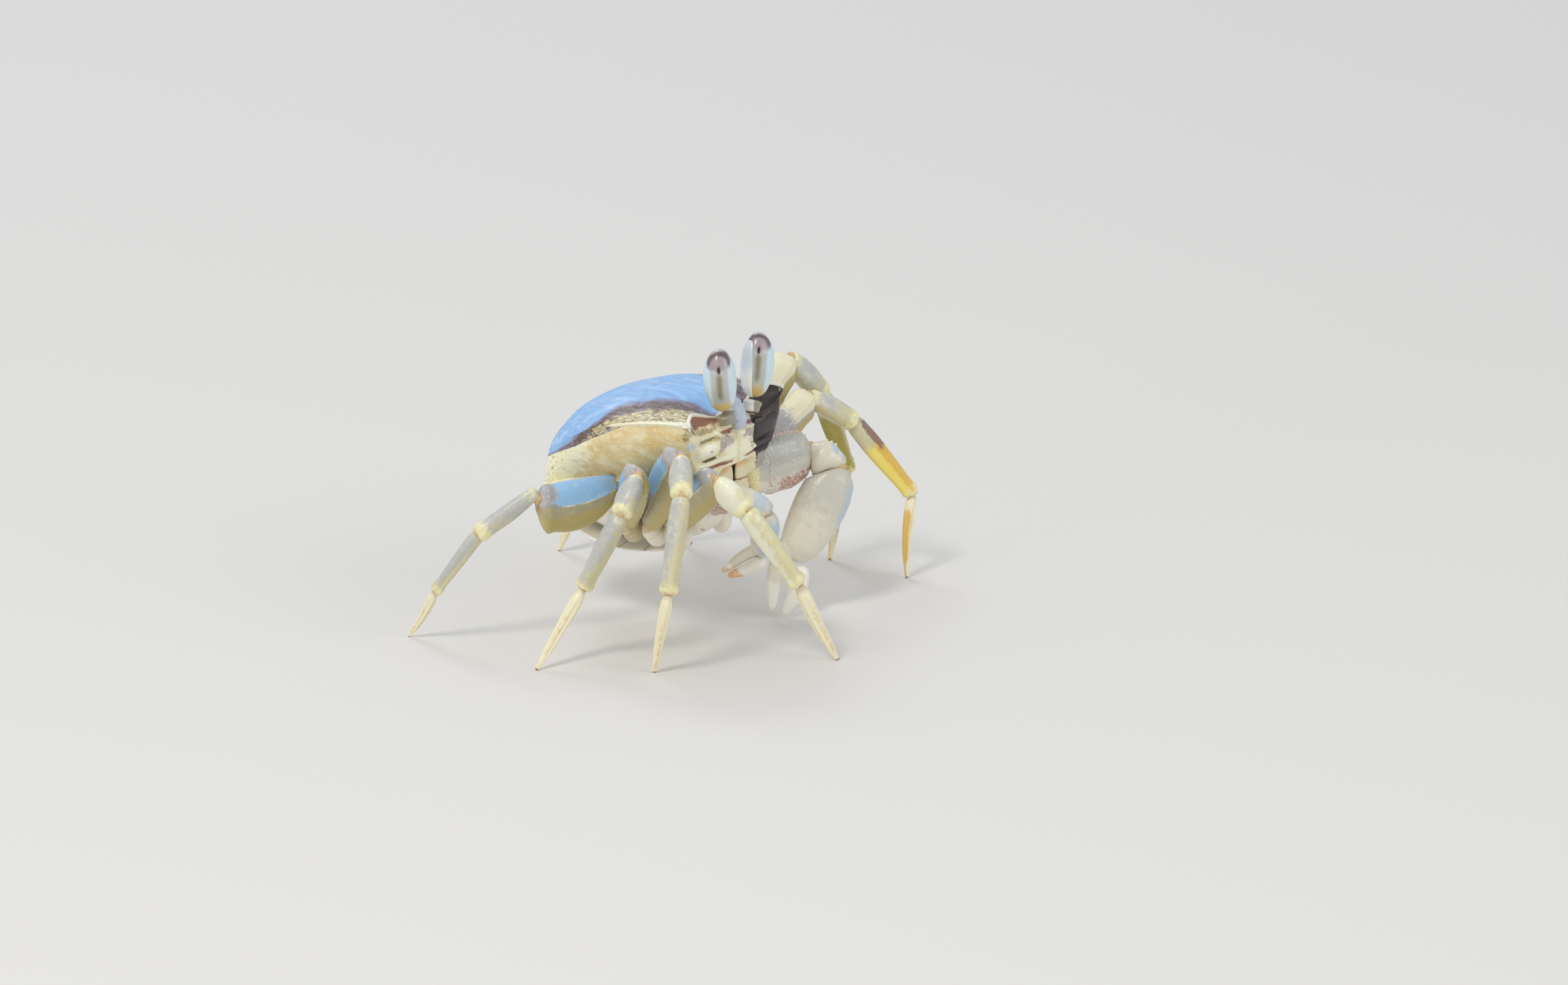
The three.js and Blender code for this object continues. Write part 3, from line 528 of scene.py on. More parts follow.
trim = []
for side in (-1, 1):
    rim = socket_rim(side)
    top_weight = fade(42.5, 45, rim[:, 2])
    trim.append(lay_cord("socket_rim", rim, SOCKET_RIM_RADIUS * (0.3 + 0.8 * top_weight), closed=True))
    beads = rim[::2] + [0, -0.12, 0]
    trim.append(lay_beads("rim_beads", beads, BEAD_RADIUS * (0.4 + 0.45 * top_weight[::2]), squash=1))
    # The tooth at the outer corner of the socket, pointing forwards and out.
    tooth = [(side * 16.6, -14.3, 44.6), (side * 17.1, -15.1, 44.7), (side * 17.2, -15.8, 44.6),
             (side * 17.1, -16.4, 44.5)]
    trim.append(lay_cord("socket_tooth", tooth, [0.85, 0.6, 0.32, 0.08]))
    # The beaded ridge, from that tooth back along the side.
    at = np.linspace(0.0, 0.74, 84)
    ridge_line, _ = shell_surface(at, np.full(len(at), BACK_PART * side))
    trim.append(lay_beads("ridge_beads", ridge_line + [side * 0.12, 0, 0],
                          BEAD_RADIUS * (1 - 0.55 * fade(0.4, 1, at / 0.74))))
rims = join_pieces(trim, "carapace_rims")
x, y, z = read_points(rims).T
# Its shade mask is painted shadow on the far socket's rim, as on the face below it.
stain(rims, rear_fade=fade(-4, 6, y), shade=fade(6, 7, x) * fade(45.2, 44.2, z) * fade(-15, -16, y),
      top=fade(42.6, 44.6, z) * fade(-13, -15, y))
rim_finish = hard_finish("rim finish", "#efe4bd", [
    ("top", "#f3efe4", 0.2, 0.8, 0.2, 0.8, 0.9),
    ("rear_fade", "#b09a86", 0.2, 0.9, 0.3, 0.8, 0.8),
    # Painted shadow on the far rim.
    ("shade", "#3d2c34", 0.4, 0.8, 0.15, 0.8, 0.92),
], roughness=0.38)
set_in(rims, rim_finish)


# Loose granules: dense on the shoulders and the flanks, sparse on the middle of the back.
GRANULE_TRIES = 6500
rng = np.random.default_rng(11)
points = read_points(shell)
normals = read_normals(shell)
chosen = rng.choice(len(points), GRANULE_TRIES, replace=False)
spot = points[chosen]
spot_s = (spot[:, 1] + 16) / SHELL_LENGTH
spot_share = np.abs(spot[:, 0]) / smooth_curve(HALF_WIDTH, np.clip(spot_s, 0, 1))
spot_rise = spot[:, 2] - smooth_curve(RIDGE_HEIGHT, np.clip(spot_s, 0, 1))
density = (0.75 * fade(0.35, 0.85, spot_share) * (spot_rise > 0.3)
           + 0.4 * (spot_rise < -1) * (spot[:, 2] > 32))
density *= (spot[:, 1] > -15.8) * (spot_s < 1)
kept = rng.random(len(spot)) < density
size = rng.uniform(0.07, 0.13, kept.sum())
granules = lay_beads("carapace_granules", spot[kept] - normals[chosen][kept] * 0.03, size, squash=1)
# They take the shell's markings from its nearest point.
near = KDTree(len(points))
for i, p in enumerate(points):
    near.insert(p, i)
near.balance()
nearest = [near.find(p)[1] for p in read_points(granules)]
stain(granules, **{name: values[nearest] for name, values in shell_masks.items()})
set_in(granules, shell_finish)

# ---- Front lobe, feelers and mouthparts ----
# The narrow lobe that hangs between the eyestalks, the two pairs of short feelers beside it, and
# the outer jaw plates, two shields that close the mouth frame like doors.


def copy_node(node, name):
    """A merged copy of a CAD node, and its two poles: the points where its end fans meet."""
    piece = bpy.data.objects.new(name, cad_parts[node].data.copy())
    bpy.context.collection.objects.link(piece)
    piece.data.materials.clear()
    pick(piece)
    bpy.ops.object.mode_set(mode="EDIT")
    bpy.ops.mesh.select_all(action="SELECT")
    bpy.ops.mesh.customdata_custom_splitnormals_clear()
    bpy.ops.mesh.remove_doubles(threshold=0.003 * MM)
    bpy.ops.object.mode_set(mode="OBJECT")
    fans = np.bincount([i for face in piece.data.polygons for i in face.vertices])
    tips = np.argsort(fans)[-2:]
    poles = read_points(piece)[tips]
    bpy.ops.object.mode_set(mode="EDIT")
    bpy.ops.mesh.select_all(action="SELECT")
    bpy.ops.mesh.tris_convert_to_quads(face_threshold=math.radians(50), shape_threshold=math.radians(50))
    bpy.ops.object.mode_set(mode="OBJECT")
    return piece, poles


class Limb:
    """A smooth limb piece made from its CAD node, with each point's place on it: `along` runs from
    0 at the inner joint to 1 at the outer one, `up` is 1 on the outer edge and -1 on the inner one,
    `side` the same across, and `out` is the direction away from the middle line."""

    def __init__(self, node, near, outward, name="", levels=3, fatten=1.09, square=0.0):
        self.node = node
        self.piece, poles = copy_node(node, name or node + "_shell")
        poles = sorted(poles, key=lambda p: np.linalg.norm(p - near))
        self.inner, self.outer = poles
        self.axis = self.outer - self.inner
        self.length = np.linalg.norm(self.axis)
        self.axis = self.axis / self.length
        apply_modifier(self.piece, "SUBSURF", levels=levels, render_levels=levels)
        self.points = read_points(self.piece)
        self.along = np.clip((self.points - self.inner) @ self.axis / self.length, 0, 1)
        up = np.array(outward, float)
        up -= up @ self.axis * self.axis
        self.upward = up / np.linalg.norm(up)
        self.sideward = np.cross(self.axis, self.upward)
        middle = self.inner + self.along[:, None] * self.axis * self.length + self.bow()
        self.offset = self.points - middle
        self.offset -= (self.offset @ self.axis)[:, None] * self.axis
        self.out = self.offset / np.maximum(np.linalg.norm(self.offset, axis=1), 1e-6)[:, None]
        self.up = self.out @ self.upward
        self.side = self.out @ self.sideward
        full = fatten - 1 + square * (hump(self.along, 0.94, 0.05) + 0.6 * hump(self.along, 0.06, 0.05))
        self.points += self.offset * full[:, None]

    def bow(self):
        """How far the middle line bends away from the straight line between the poles."""
        straight = self.inner + self.along[:, None] * self.axis * self.length
        off = self.points - straight
        cells = np.clip((self.along * 12).astype(int), 0, 11)
        middles = np.array([0.5 * (off[cells == k].max(0) + off[cells == k].min(0)) if (cells == k).any()
                            else np.zeros(3) for k in range(12)])
        middles[0] = middles[-1] = 0
        places = (np.arange(12) + 0.5) / 12
        bend = np.stack([np.interp(self.along, places, middles[:, k]) for k in range(3)], 1)
        return bend - (bend @ self.axis)[:, None] * self.axis

    def push(self, amount):
        """Moves the surface out from the middle line by that many millimetres."""
        self.points += self.out * np.asarray(amount)[:, None]

    def stretch(self, length):
        """Lengthens both ends, so that they close on their neighbours."""
        self.points += self.axis * (length * (fade(0.8, 1, self.along) - fade(0.2, 0, self.along)))[:, None]

    def lobes(self, length):
        """Draws the outer end out into two lobes, which hold the next piece between them."""
        weight = fade(0.84, 0.97, self.along) * fade(0.35, 0.9, np.abs(self.side))
        self.points += self.axis * (length * weight)[:, None] + self.out * (0.12 * weight)[:, None]

    def finish(self, material, slot, **masks):
        """Writes the worked points back to the mesh, and sets the piece in."""
        move_points(self.piece, self.points)
        face_outwards(self.piece)
        stain(self.piece, **masks)
        set_in(self.piece, material, self.node)


mouth_finish = hard_finish("mouth finish", "#e9dcb8", [
    ("amber", "#d9a658", 0.3, 1.0, 0.4, 1.2, 0.8),
    ("seam", "#8a5a44", 0.5, 0.9, 0.2, 0.8, 0.8),
], roughness=0.45)
for side, hand in ((-1, "right"), (1, "left")):
    jaw = Limb(f"maxilliped_{hand}", np.array([side * 2.75, -15.7, 34]), (-side, 0, 0),
               name=f"maxilliped_{hand}_plate", fatten=1.05)
    seam = hump(jaw.along, 0.42, 0.035)
    groove = hump(jaw.up, -0.35, 0.12) * hump(jaw.along, 0.7, 0.25)
    jaw.push(-0.35 * seam - 0.3 * groove)
    jaw.finish(mouth_finish, "underside", seam=seam, amber=fade(0.3, 0.0, jaw.along) + 0.8 * seam)

LOBE_LINE = [(0, -14.6, 45.9), (0, -15.9, 45.2), (0, -16.8, 43.9), (0, -17.1, 42.4), (0, -17.0, 41.0),
             (0, -16.6, 39.9)]
INNER_FEELER = [(2.3, -16.3, 40.2), (2.9, -17.2, 40.4), (3.7, -17.5, 40.2), (4.6, -17.5, 40.4)]
OUTER_FEELER = [(6.2, -16.6, 40.5), (6.9, -17.3, 40.7), (7.8, -17.6, 40.9), (8.9, -17.7, 41.4),
                (10, -17.6, 41.7)]
front = [lay_cord("front_lobe", LOBE_LINE, [1.2, 1.3, 1.25, 1.3, 1.15, 0.5], sides=5)]
lobe_points = read_points(front[0])
lobe_points[:, 0] *= 1.55 - 0.2 * hump(lobe_points[:, 2], 43.6, 0.7)
move_points(front[0], lobe_points)
for side in (-1, 1):
    for name, line, radii in (("inner_feeler", INNER_FEELER, [0.5, 0.5, 0.4, 0.2]),
                              ("outer_feeler", OUTER_FEELER, [0.5, 0.45, 0.3, 0.16, 0.08])):
        front.append(lay_cord(name, [(side * x, y, z) for x, y, z in line], radii, sides=5))
front_lobe = join_pieces(front, "front_lobe_and_feelers")
x, y, z = read_points(front_lobe).T
# Its shade mask is painted shadow on the far feelers, as on the face behind them.
stain(front_lobe, shade=fade(4.4, 5.2, x), lilac=fade(39.5, 41.5, z) * fade(2.5, 2.1, np.abs(x)))
front_finish = hard_finish("front finish", "#e9dfc0", [
    # Painted shadow on the far feelers.
    ("shade", "#3d2c34", 0.4, 0.7, 0.1, 0.8, 0.95),
    ("lilac", "#c3cbdd", 0.2, 0.8, 0.2, 0.8, 0.95),
    ("lilac", "#8d8790", 1.1, 1.6, 0.5, 0.7, 0.7),
    ("lilac", "#bcd6f6", 1.1, 1.6, 0.5, 1.1, 0.85),
    ("lilac", "#f8f5ec", 1.15, 1.6, 0.5, 0.8, 0.85),
])
set_in(front_lobe, front_finish)

# ---- Eyes ----
# Each eye is a tall glossy cornea over a short stalk, and a white strip of the stalk runs up its
# inner side. The dark upright bar is where the eye looks straight out at the front quarter.
GAZE = np.array([-0.848, -0.530, 0])
EYE_FOOT = (4.3, -17, 42.6)  # where the stalk leaves the shell, on the left

eye_grey = hard_finish("cornea", "#bdbfb9", [
    ("rim", "#d3e9f0", 0.1, 0.85, 0.05, 3, (1, 1, 3), 0.95),
    ("foot", "#d8b550", 0.2, 1.0, 0.12, 2, 0.85),
    ("bar", "#857a55", 0.1, 1.1, 0.08, 1.5, (1, 1, 4), 0.9),
    ("cap", "#a08d92", 0.2, 0.9, 0.1, 1.6, 0.85),
    ("arch", "#55353c", 0.1, 1.0, 0.15, 1.6, 0.9),
    ("tip", "#bfbdd0", 0.3, 1.0, 0.08, 1.2, 0.85),
    ("pupil", "#2a0c12", 0.2, 0.8, 0.05, 1, 0.97),
], roughness=0.3, gloss=0.6, grain=(0.12, 0.03), flesh=0.15)
eye_grey.node_tree.nodes["Principled BSDF"].inputs["Coat Roughness"].default_value = 0.04
stalk_white = hard_finish("stalk white", "#efece2", [
    ("foot", "#8b856c", 0.3, 0.9, 0.2, 1.0, 0.88),
    ("rust", "#6e3a2e", 0.4, 0.9, 0.15, 0.8, 0.85),
    ("blue", "#bfccd8", 0.3, 1.0, 0.2, 1.5, 0.7),
], roughness=0.35, gloss=0.5, grain=(0.3, 0.12))

for side, hand in ((-1, "right"), (1, "left")):
    root = EYE_FOOT * np.array([side, 1, 1])
    eye = Limb(f"cornea_{hand}", root, GAZE, name=f"cornea_{hand}_glass", fatten=1.06)
    eye.points -= eye.offset * (0.17 * fade(0.42, 0.05, eye.along))[:, None]
    level = eye.out * [1, 1, 0]
    level /= np.maximum(np.linalg.norm(level, axis=1), 1e-6)[:, None]
    down = (1 - eye.along) * eye.length  # from the tip
    front = level @ GAZE > 0
    aside = eye.offset @ np.cross([0, 0, 1], GAZE)
    bow = np.hypot(aside / 1.9, np.maximum(2.7 - down, 0) / 2.0)  # 1 on the arched edge of the cap
    eye.finish(
        eye_grey, "cornea",
        rim=fade(0.9, 2.3, np.where(front, np.abs(aside), 3)) * fade(0.3, 1.6, down),
        foot=front * fade(8.6, 12, down) * fade(3.3, 1.2, np.abs(aside)),
        bar=front * hump(aside, 0, 0.7) * fade(3.4, 5, down) * fade(11, 8.4, down),
        cap=front * fade(1.05, 0.8, bow) * fade(4.6, 2.4, down),
        arch=front * hump(bow, 1.0, 0.2) * fade(4.2, 2.2, down),
        tip=np.where(front, fade(1.05, 1.35, bow), 1) * fade(2.2, 0.8, down),
        pupil=front * hump(np.hypot(aside / 0.42, (down - 3.4) / 0.95), 0, 0.9))

    # The strip: a long leaf laid on the cornea from the stalk nearly to the tip, its edges sunk in.
    skin = BVHTree.FromPolygons([p.tolist() for p in eye.points],
                                [f.vertices[:] for f in eye.piece.data.polygons])
    strip, leaf = add_shape(bpy.ops.mesh.primitive_grid_add, f"eyestalk_{hand}_strip",
                            x_subdivisions=18, y_subdivisions=60, size=2)
    rise = 0.02 + 0.43 * (leaf[:, 1] + 1)
    half = (40 - 10 * fade(0.45, 0.9, rise)) * (1 - np.clip((rise - 0.8) / 0.1, 0, 1) ** 2 * 0.6)
    inward = math.atan2(0.37, -side * 0.93)
    laid = []
    for (across, _, _), height, reach in zip(leaf, rise, half):
        turn = inward + side * math.radians(across * reach)
        centre = eye.inner + eye.axis * height * eye.length
        ray = np.array([math.cos(turn), math.sin(turn), 0])
        hit, *_ = skin.ray_cast(centre.tolist(), ray.tolist())
        laid.append(np.array(hit) if hit is not None else centre)
    laid = np.array(laid)
    swell = 0.2 * (1 - leaf[:, 0] ** 4) * (1 - leaf[:, 1] ** 8) - 0.05
    middle = eye.inner + ((laid - eye.inner) @ eye.axis)[:, None] * eye.axis
    away = laid - middle
    away /= np.maximum(np.linalg.norm(away, axis=1), 1e-6)[:, None]
    move_points(strip, laid + away * swell[:, None])
    face_outwards(strip)
    apply_modifier(strip, "SOLIDIFY", thickness=0.3 * MM, offset=0)
    face_outwards(strip)
    strip_z = read_points(strip)[:, 2]
    stain(strip, foot=fade(46.6, 44, strip_z), blue=fade(49, 53, strip_z))
    set_in(strip, stalk_white)

    stalk = Limb(f"eyestalk_{hand}", root, GAZE, name=f"eyestalk_{hand}_foot", fatten=1.12)
    stalk.push(0.2 * hump(stalk.along, 0.1, 0.16) - 0.1 * hump(stalk.along, 0.5, 0.2)
               + 0.25 * fade(0.5, 1, stalk.along))
    outward_front = stalk.out @ (side * 0.6, -0.8, 0)
    stalk.finish(stalk_white, "stalk", rust=1.2 * hump(stalk.along, 0.0, 0.14),
                 foot=fade(-0.2, 0.5, outward_front) + 0.4 * fade(0.2, 0.9, stalk.along))

# ---- Sternum and folded tail ----
# The breastplate between the hips, in grooved segments, and the broad tail plate of seven
# segments folded forwards under it. Both are smooth white shell.
SEGMENT_Y = [-9.6, -5.4, -0.2, 5.1, 10.4]  # grooves across the breastplate

breast, _ = copy_node("sternum", "sternum_plate")
apply_modifier(breast, "SUBSURF", levels=4, render_levels=4)
points = read_points(breast)
normals = read_normals(breast)
cross = np.zeros(len(points))
for place in SEGMENT_Y:
    cross = np.maximum(cross, hump(points[:, 1] + 0.25 * np.abs(points[:, 0]), place, 0.3))
keel = hump(points[:, 0], 0, 0.35)
points += normals * (-0.4 * np.maximum(cross, 0.6 * keel))[:, None]
move_points(breast, points)
face_outwards(breast)
stain(breast, seam=cross, olive=fade(22, 26, points[:, 2]))
belly_finish = hard_finish("belly finish", "#f1ecdf", [
    ("olive", "#c8b57e", 0.3, 1.0, 0.5, 2.0, 0.7),
    ("seam", "#c9b592", 0.4, 0.9, 0.2, 0.8, 0.8),
    ("rim", "#fbf8ee", 0.4, 0.9, 0.1, 0.8, 0.9),
], roughness=0.32, gloss=0.4, grain=(0.4, 0.12))
set_in(breast, belly_finish, "sternum")

TAIL_SEGMENTS = 7
tail = Limb("abdomen", np.array([0, 22.2, 33]), (1, 0, 0), name="tail_plate", fatten=1.04)
# The plate is bent right round, so its segments are counted by the turn about its own middle.
turn = np.arctan2(tail.points[:, 1] - 8, tail.points[:, 2] - 26)
turn = np.where(turn < -1, turn + 2 * math.pi, turn)
share = (turn - turn.min()) / (turn.max() - turn.min())
phase = share * TAIL_SEGMENTS % 1
seam = hump(phase, 1, 0.07) + hump(phase, 0, 0.07)
tail_normals = read_normals(tail.piece)
rim = fade(0.8, 0.96, np.abs(tail.points[:, 0]) / 6.6)
tail.points = read_points(tail.piece) + tail_normals * (-0.22 * seam + 0.18 * rim)[:, None]
tail.finish(belly_finish, "underside", seam=seam, olive=0.5 * fade(0.5, 0.2, share), rim=rim)

# ---- Walking legs ----
# Eight legs of hip, merus, carpus, propodus and dactylus, a fluted spike that the crab stands on.
# The merus is flat and stands on edge, with a toothed rim above and below. The next two are ribbed
# lengthways. Soft orange skin shows where two pieces bend.
LEG_NAMES = [f"{hand}_{number}" for hand in ("right", "left") for number in (1, 2, 3, 4)]
# How yellow the lower half of a leg is, how hairy it is, how much painted sky reflection its merus
# takes and how pale its shank is, and how far the upper edge of its merus leans backwards.
GOLD = {"left_1": 1.0, "left_2": 0.3, "right_1": 0.3, "right_2": 0.3}
HAIRY = {"left_2": 1.0, "left_1": 0.4, "right_2": 0.55}
SKY_REFLECTION_SHARE = {"left_1": 0.25, "left_2": 0.3}
PALE = {"right_1": 1.0, "right_2": 0.3, "left_1": 0.3, "left_2": 0.3}
LEAN = {"right_1": 0.8, "right_2": 1, "right_3": 0.8}
MERUS_TOOTH = 0.14

merus_finish = hard_finish("merus finish", "#c4c0ae", [
    ("face", "#b3a878", 0.3, 1.1, 0.35, 2.2, 0.8),
    ("face", "#ddd3a2", 1.0, 1.5, 0.4, 1.3, 0.65),
    ("top", "#b3b2b8", 0.2, 0.8, 0.25, 1.5, 0.85),
    ("top", "#ebe5cf", 1.05, 1.7, 0.5, 1.0, 0.8),
    # The sky coats are painted reflection of the sky on the upper faces of the meri.
    ("sky", "#a2d3ff", 0.25, 0.65, 0.2, 1.4, 0.96),
    ("sky", "#e6f1fd", 1.1, 1.6, 0.4, 1.8, 0.6),
    # lower: olive-yellow on the merus's lower edge, darkened as painted shade under the body.
    ("lower", "#bfae6a", 0.35, 0.85, 0.2, 1.2, 0.9),
    ("end", "#f5eecb", 0.4, 0.9, 0.22, 1.0, 0.92),
    ("rim", "#f7f3e2", 0.4, 0.8, 0.15, 0.8, 0.92),
    ("rust", "#c07a4a", 0.5, 1.0, 0.3, 0.6, 0.6),
], roughness=0.38, grain=(0.3, 0.35))
shank_finish = hard_finish("shank finish", "#bfbfbb", [
    ("all", "#a9a6aa", 0.9, 1.9, 0.4, 1.7, 0.5),
    ("all", "#e2dcc0", 0.8, 1.8, 0.4, 1.1, 0.6),
    ("pale", "#f4f2d8", 0.15, 1.0, 0.3, 1.4, 0.88),
    ("lower", "#d9cf9c", 0.25, 0.9, 0.3, 1.2, 0.8),
    # olive: left_2's propodus, painted shade over its yellow.
    ("olive", "#b0a33c", 0.3, 0.9, 0.25, 1.5, 0.9),
    ("gold", "#ecbc3c", 0.35, 0.8, 0.2, 1.2, 0.92),
    ("edge", "#fbe774", 0.4, 0.9, 0.2, 1.0, 0.9),
    ("brown", "#7d5552", 0.4, 0.9, 0.3, 0.9, 0.85),
    ("end", "#f4ecb6", 0.4, 1.0, 0.3, 1.0, 0.9),
    ("end", "#fffcf0", 1.0, 1.5, 0.35, 0.7, 0.8),
    ("rust", "#d08a50", 0.6, 1.1, 0.35, 0.6, 0.75),
], roughness=0.36, grain=(0.28, 0.35))
toe_finish = hard_finish("toe finish", "#f6edca", [
    ("edge", "#dcb46c", 0.5, 1.0, 0.25, 1.0, 0.7),
    ("gold", "#e9bb4d", 0.45, 0.9, 0.2, 1.5, 0.85),
    ("start", "#d8cdae", 0.4, 1.0, 0.35, 0.9, 0.8),
    ("point", "#a1642c", 0.3, 0.9, 0.1, 0.8, 0.9),
], roughness=0.36, grain=(0.25, 0.2))
hip_finish = hard_finish("hip finish", "#f3eddc", [
    # olive: painted shade, where the hips lie in the shadow under the body.
    ("olive", "#b5a264", 0.35, 0.95, 0.35, 1.6, 0.75),
    ("end", "#d9b07c", 0.5, 1.0, 0.3, 0.9, 0.6),
], roughness=0.36, grain=(0.35, 0.2))
joint_finish = hard_finish("joint skin", "#d3b98c", [
    ("fold", "#b0703f", 0.5, 1.1, 0.6, 0.9, 0.75),
], roughness=0.5, gloss=0.1, grain=(0.2, 0.25), flesh=0.1)


def teeth(limb, places, on_up):
    """Places for small teeth along one edge of a limb piece."""
    spots = []
    for place in places:
        gap = np.abs(limb.along - place) * limb.length + 4 * (1 - limb.up * on_up) + np.abs(limb.side)
        spots.append(limb.points[np.argmin(gap)])
    return spots


def lay_hairs(name, roots, directions, lengths, width=0.05):
    """Stiff hairs as thin spikes, all in one mesh."""
    roots, directions = np.array(roots), np.array(directions)
    directions = directions / np.linalg.norm(directions, axis=1)[:, None]
    across = np.cross(directions, [0.31, 0.21, 0.93])
    across /= np.linalg.norm(across, axis=1)[:, None]
    third = np.cross(directions, across)
    base = [roots + width * (math.cos(a) * across + math.sin(a) * third) for a in (0, 2.09, 4.19)]
    points = np.stack([*base, roots + directions * np.array(lengths)[:, None]], 1).reshape(-1, 3)
    first = np.arange(len(roots)) * 4
    faces = np.concatenate([np.stack([first + a, first + b, first + c], 1)
                            for a, b, c in ((0, 1, 3), (1, 2, 3), (2, 0, 3), (0, 2, 1))])
    mesh = bpy.data.meshes.new(name)
    mesh.from_pydata(((points + HOME) * MM).tolist(), [], faces.tolist())
    hairs = bpy.data.objects.new(name, mesh)
    bpy.context.collection.objects.link(hairs)
    face_outwards(hairs)
    return hairs


def joint_ball(place, axis, breadth, thickness, upward):
    """The soft skin inside a joint: a short ringed cushion across the gap."""
    ball, shape = add_shape(bpy.ops.mesh.primitive_uv_sphere_add, "joint_ball",
                            segments=24, ring_count=16, radius=1)
    folds = 1 + 0.02 * np.sin(shape[:, 2] * 9)
    sideward = np.cross(axis, upward)
    points = place + shape[:, :1] * folds[:, None] * upward * breadth
    points += shape[:, 1:2] * folds[:, None] * sideward * thickness + shape[:, 2:] * axis * breadth * 0.8
    move_points(ball, points)
    face_outwards(ball)
    stain(ball, fold=0.35 + 0.35 * np.sin(shape[:, 2] * 9))
    return ball


def fill_joints(name, joints, more=()):
    """Soft skin in each joint, given as (inner piece, outer piece, breadth, thickness). `more` holds
    further cushions, each as joint_ball takes it."""
    skins = []
    for before, after, breadth, thickness in joints:
        way = before.axis + after.axis
        way /= np.linalg.norm(way)
        upward = after.upward - (after.upward @ way) * way
        skins.append(joint_ball((before.outer + after.inner) / 2, way, breadth, thickness,
                                upward / np.linalg.norm(upward)))
    skins += [joint_ball(*cushion) for cushion in more]
    set_in(join_pieces(skins, name), joint_finish)


hair_roots, hair_ways, hair_lengths = [], [], []


def grow_hairs(limb, count, start, end, edge, length, droop, random):
    """Hairs in a row along the front or the rear side of a limb piece."""
    for place in np.linspace(start, end, count):
        nearest = np.argmin(np.abs(limb.along - place) * limb.length + 2.0 * (1 - limb.side * edge)
                            + random.uniform(0, 0.5))
        way = limb.out[nearest] + limb.axis * droop + random.normal(0, 0.16, 3)
        hair_roots.append(limb.points[nearest] - limb.out[nearest] * 0.05)
        hair_ways.append(way)
        hair_lengths.append(length * random.uniform(0.6, 1.15))


def middles_of(limb, parts):
    """The middle of each CAD node of a limb, by part."""
    middles = {}
    for part in parts:
        low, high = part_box(f"{limb}_{part}")
        middles[part] = np.array((low + high) / 2) / MM - HOME
    return middles


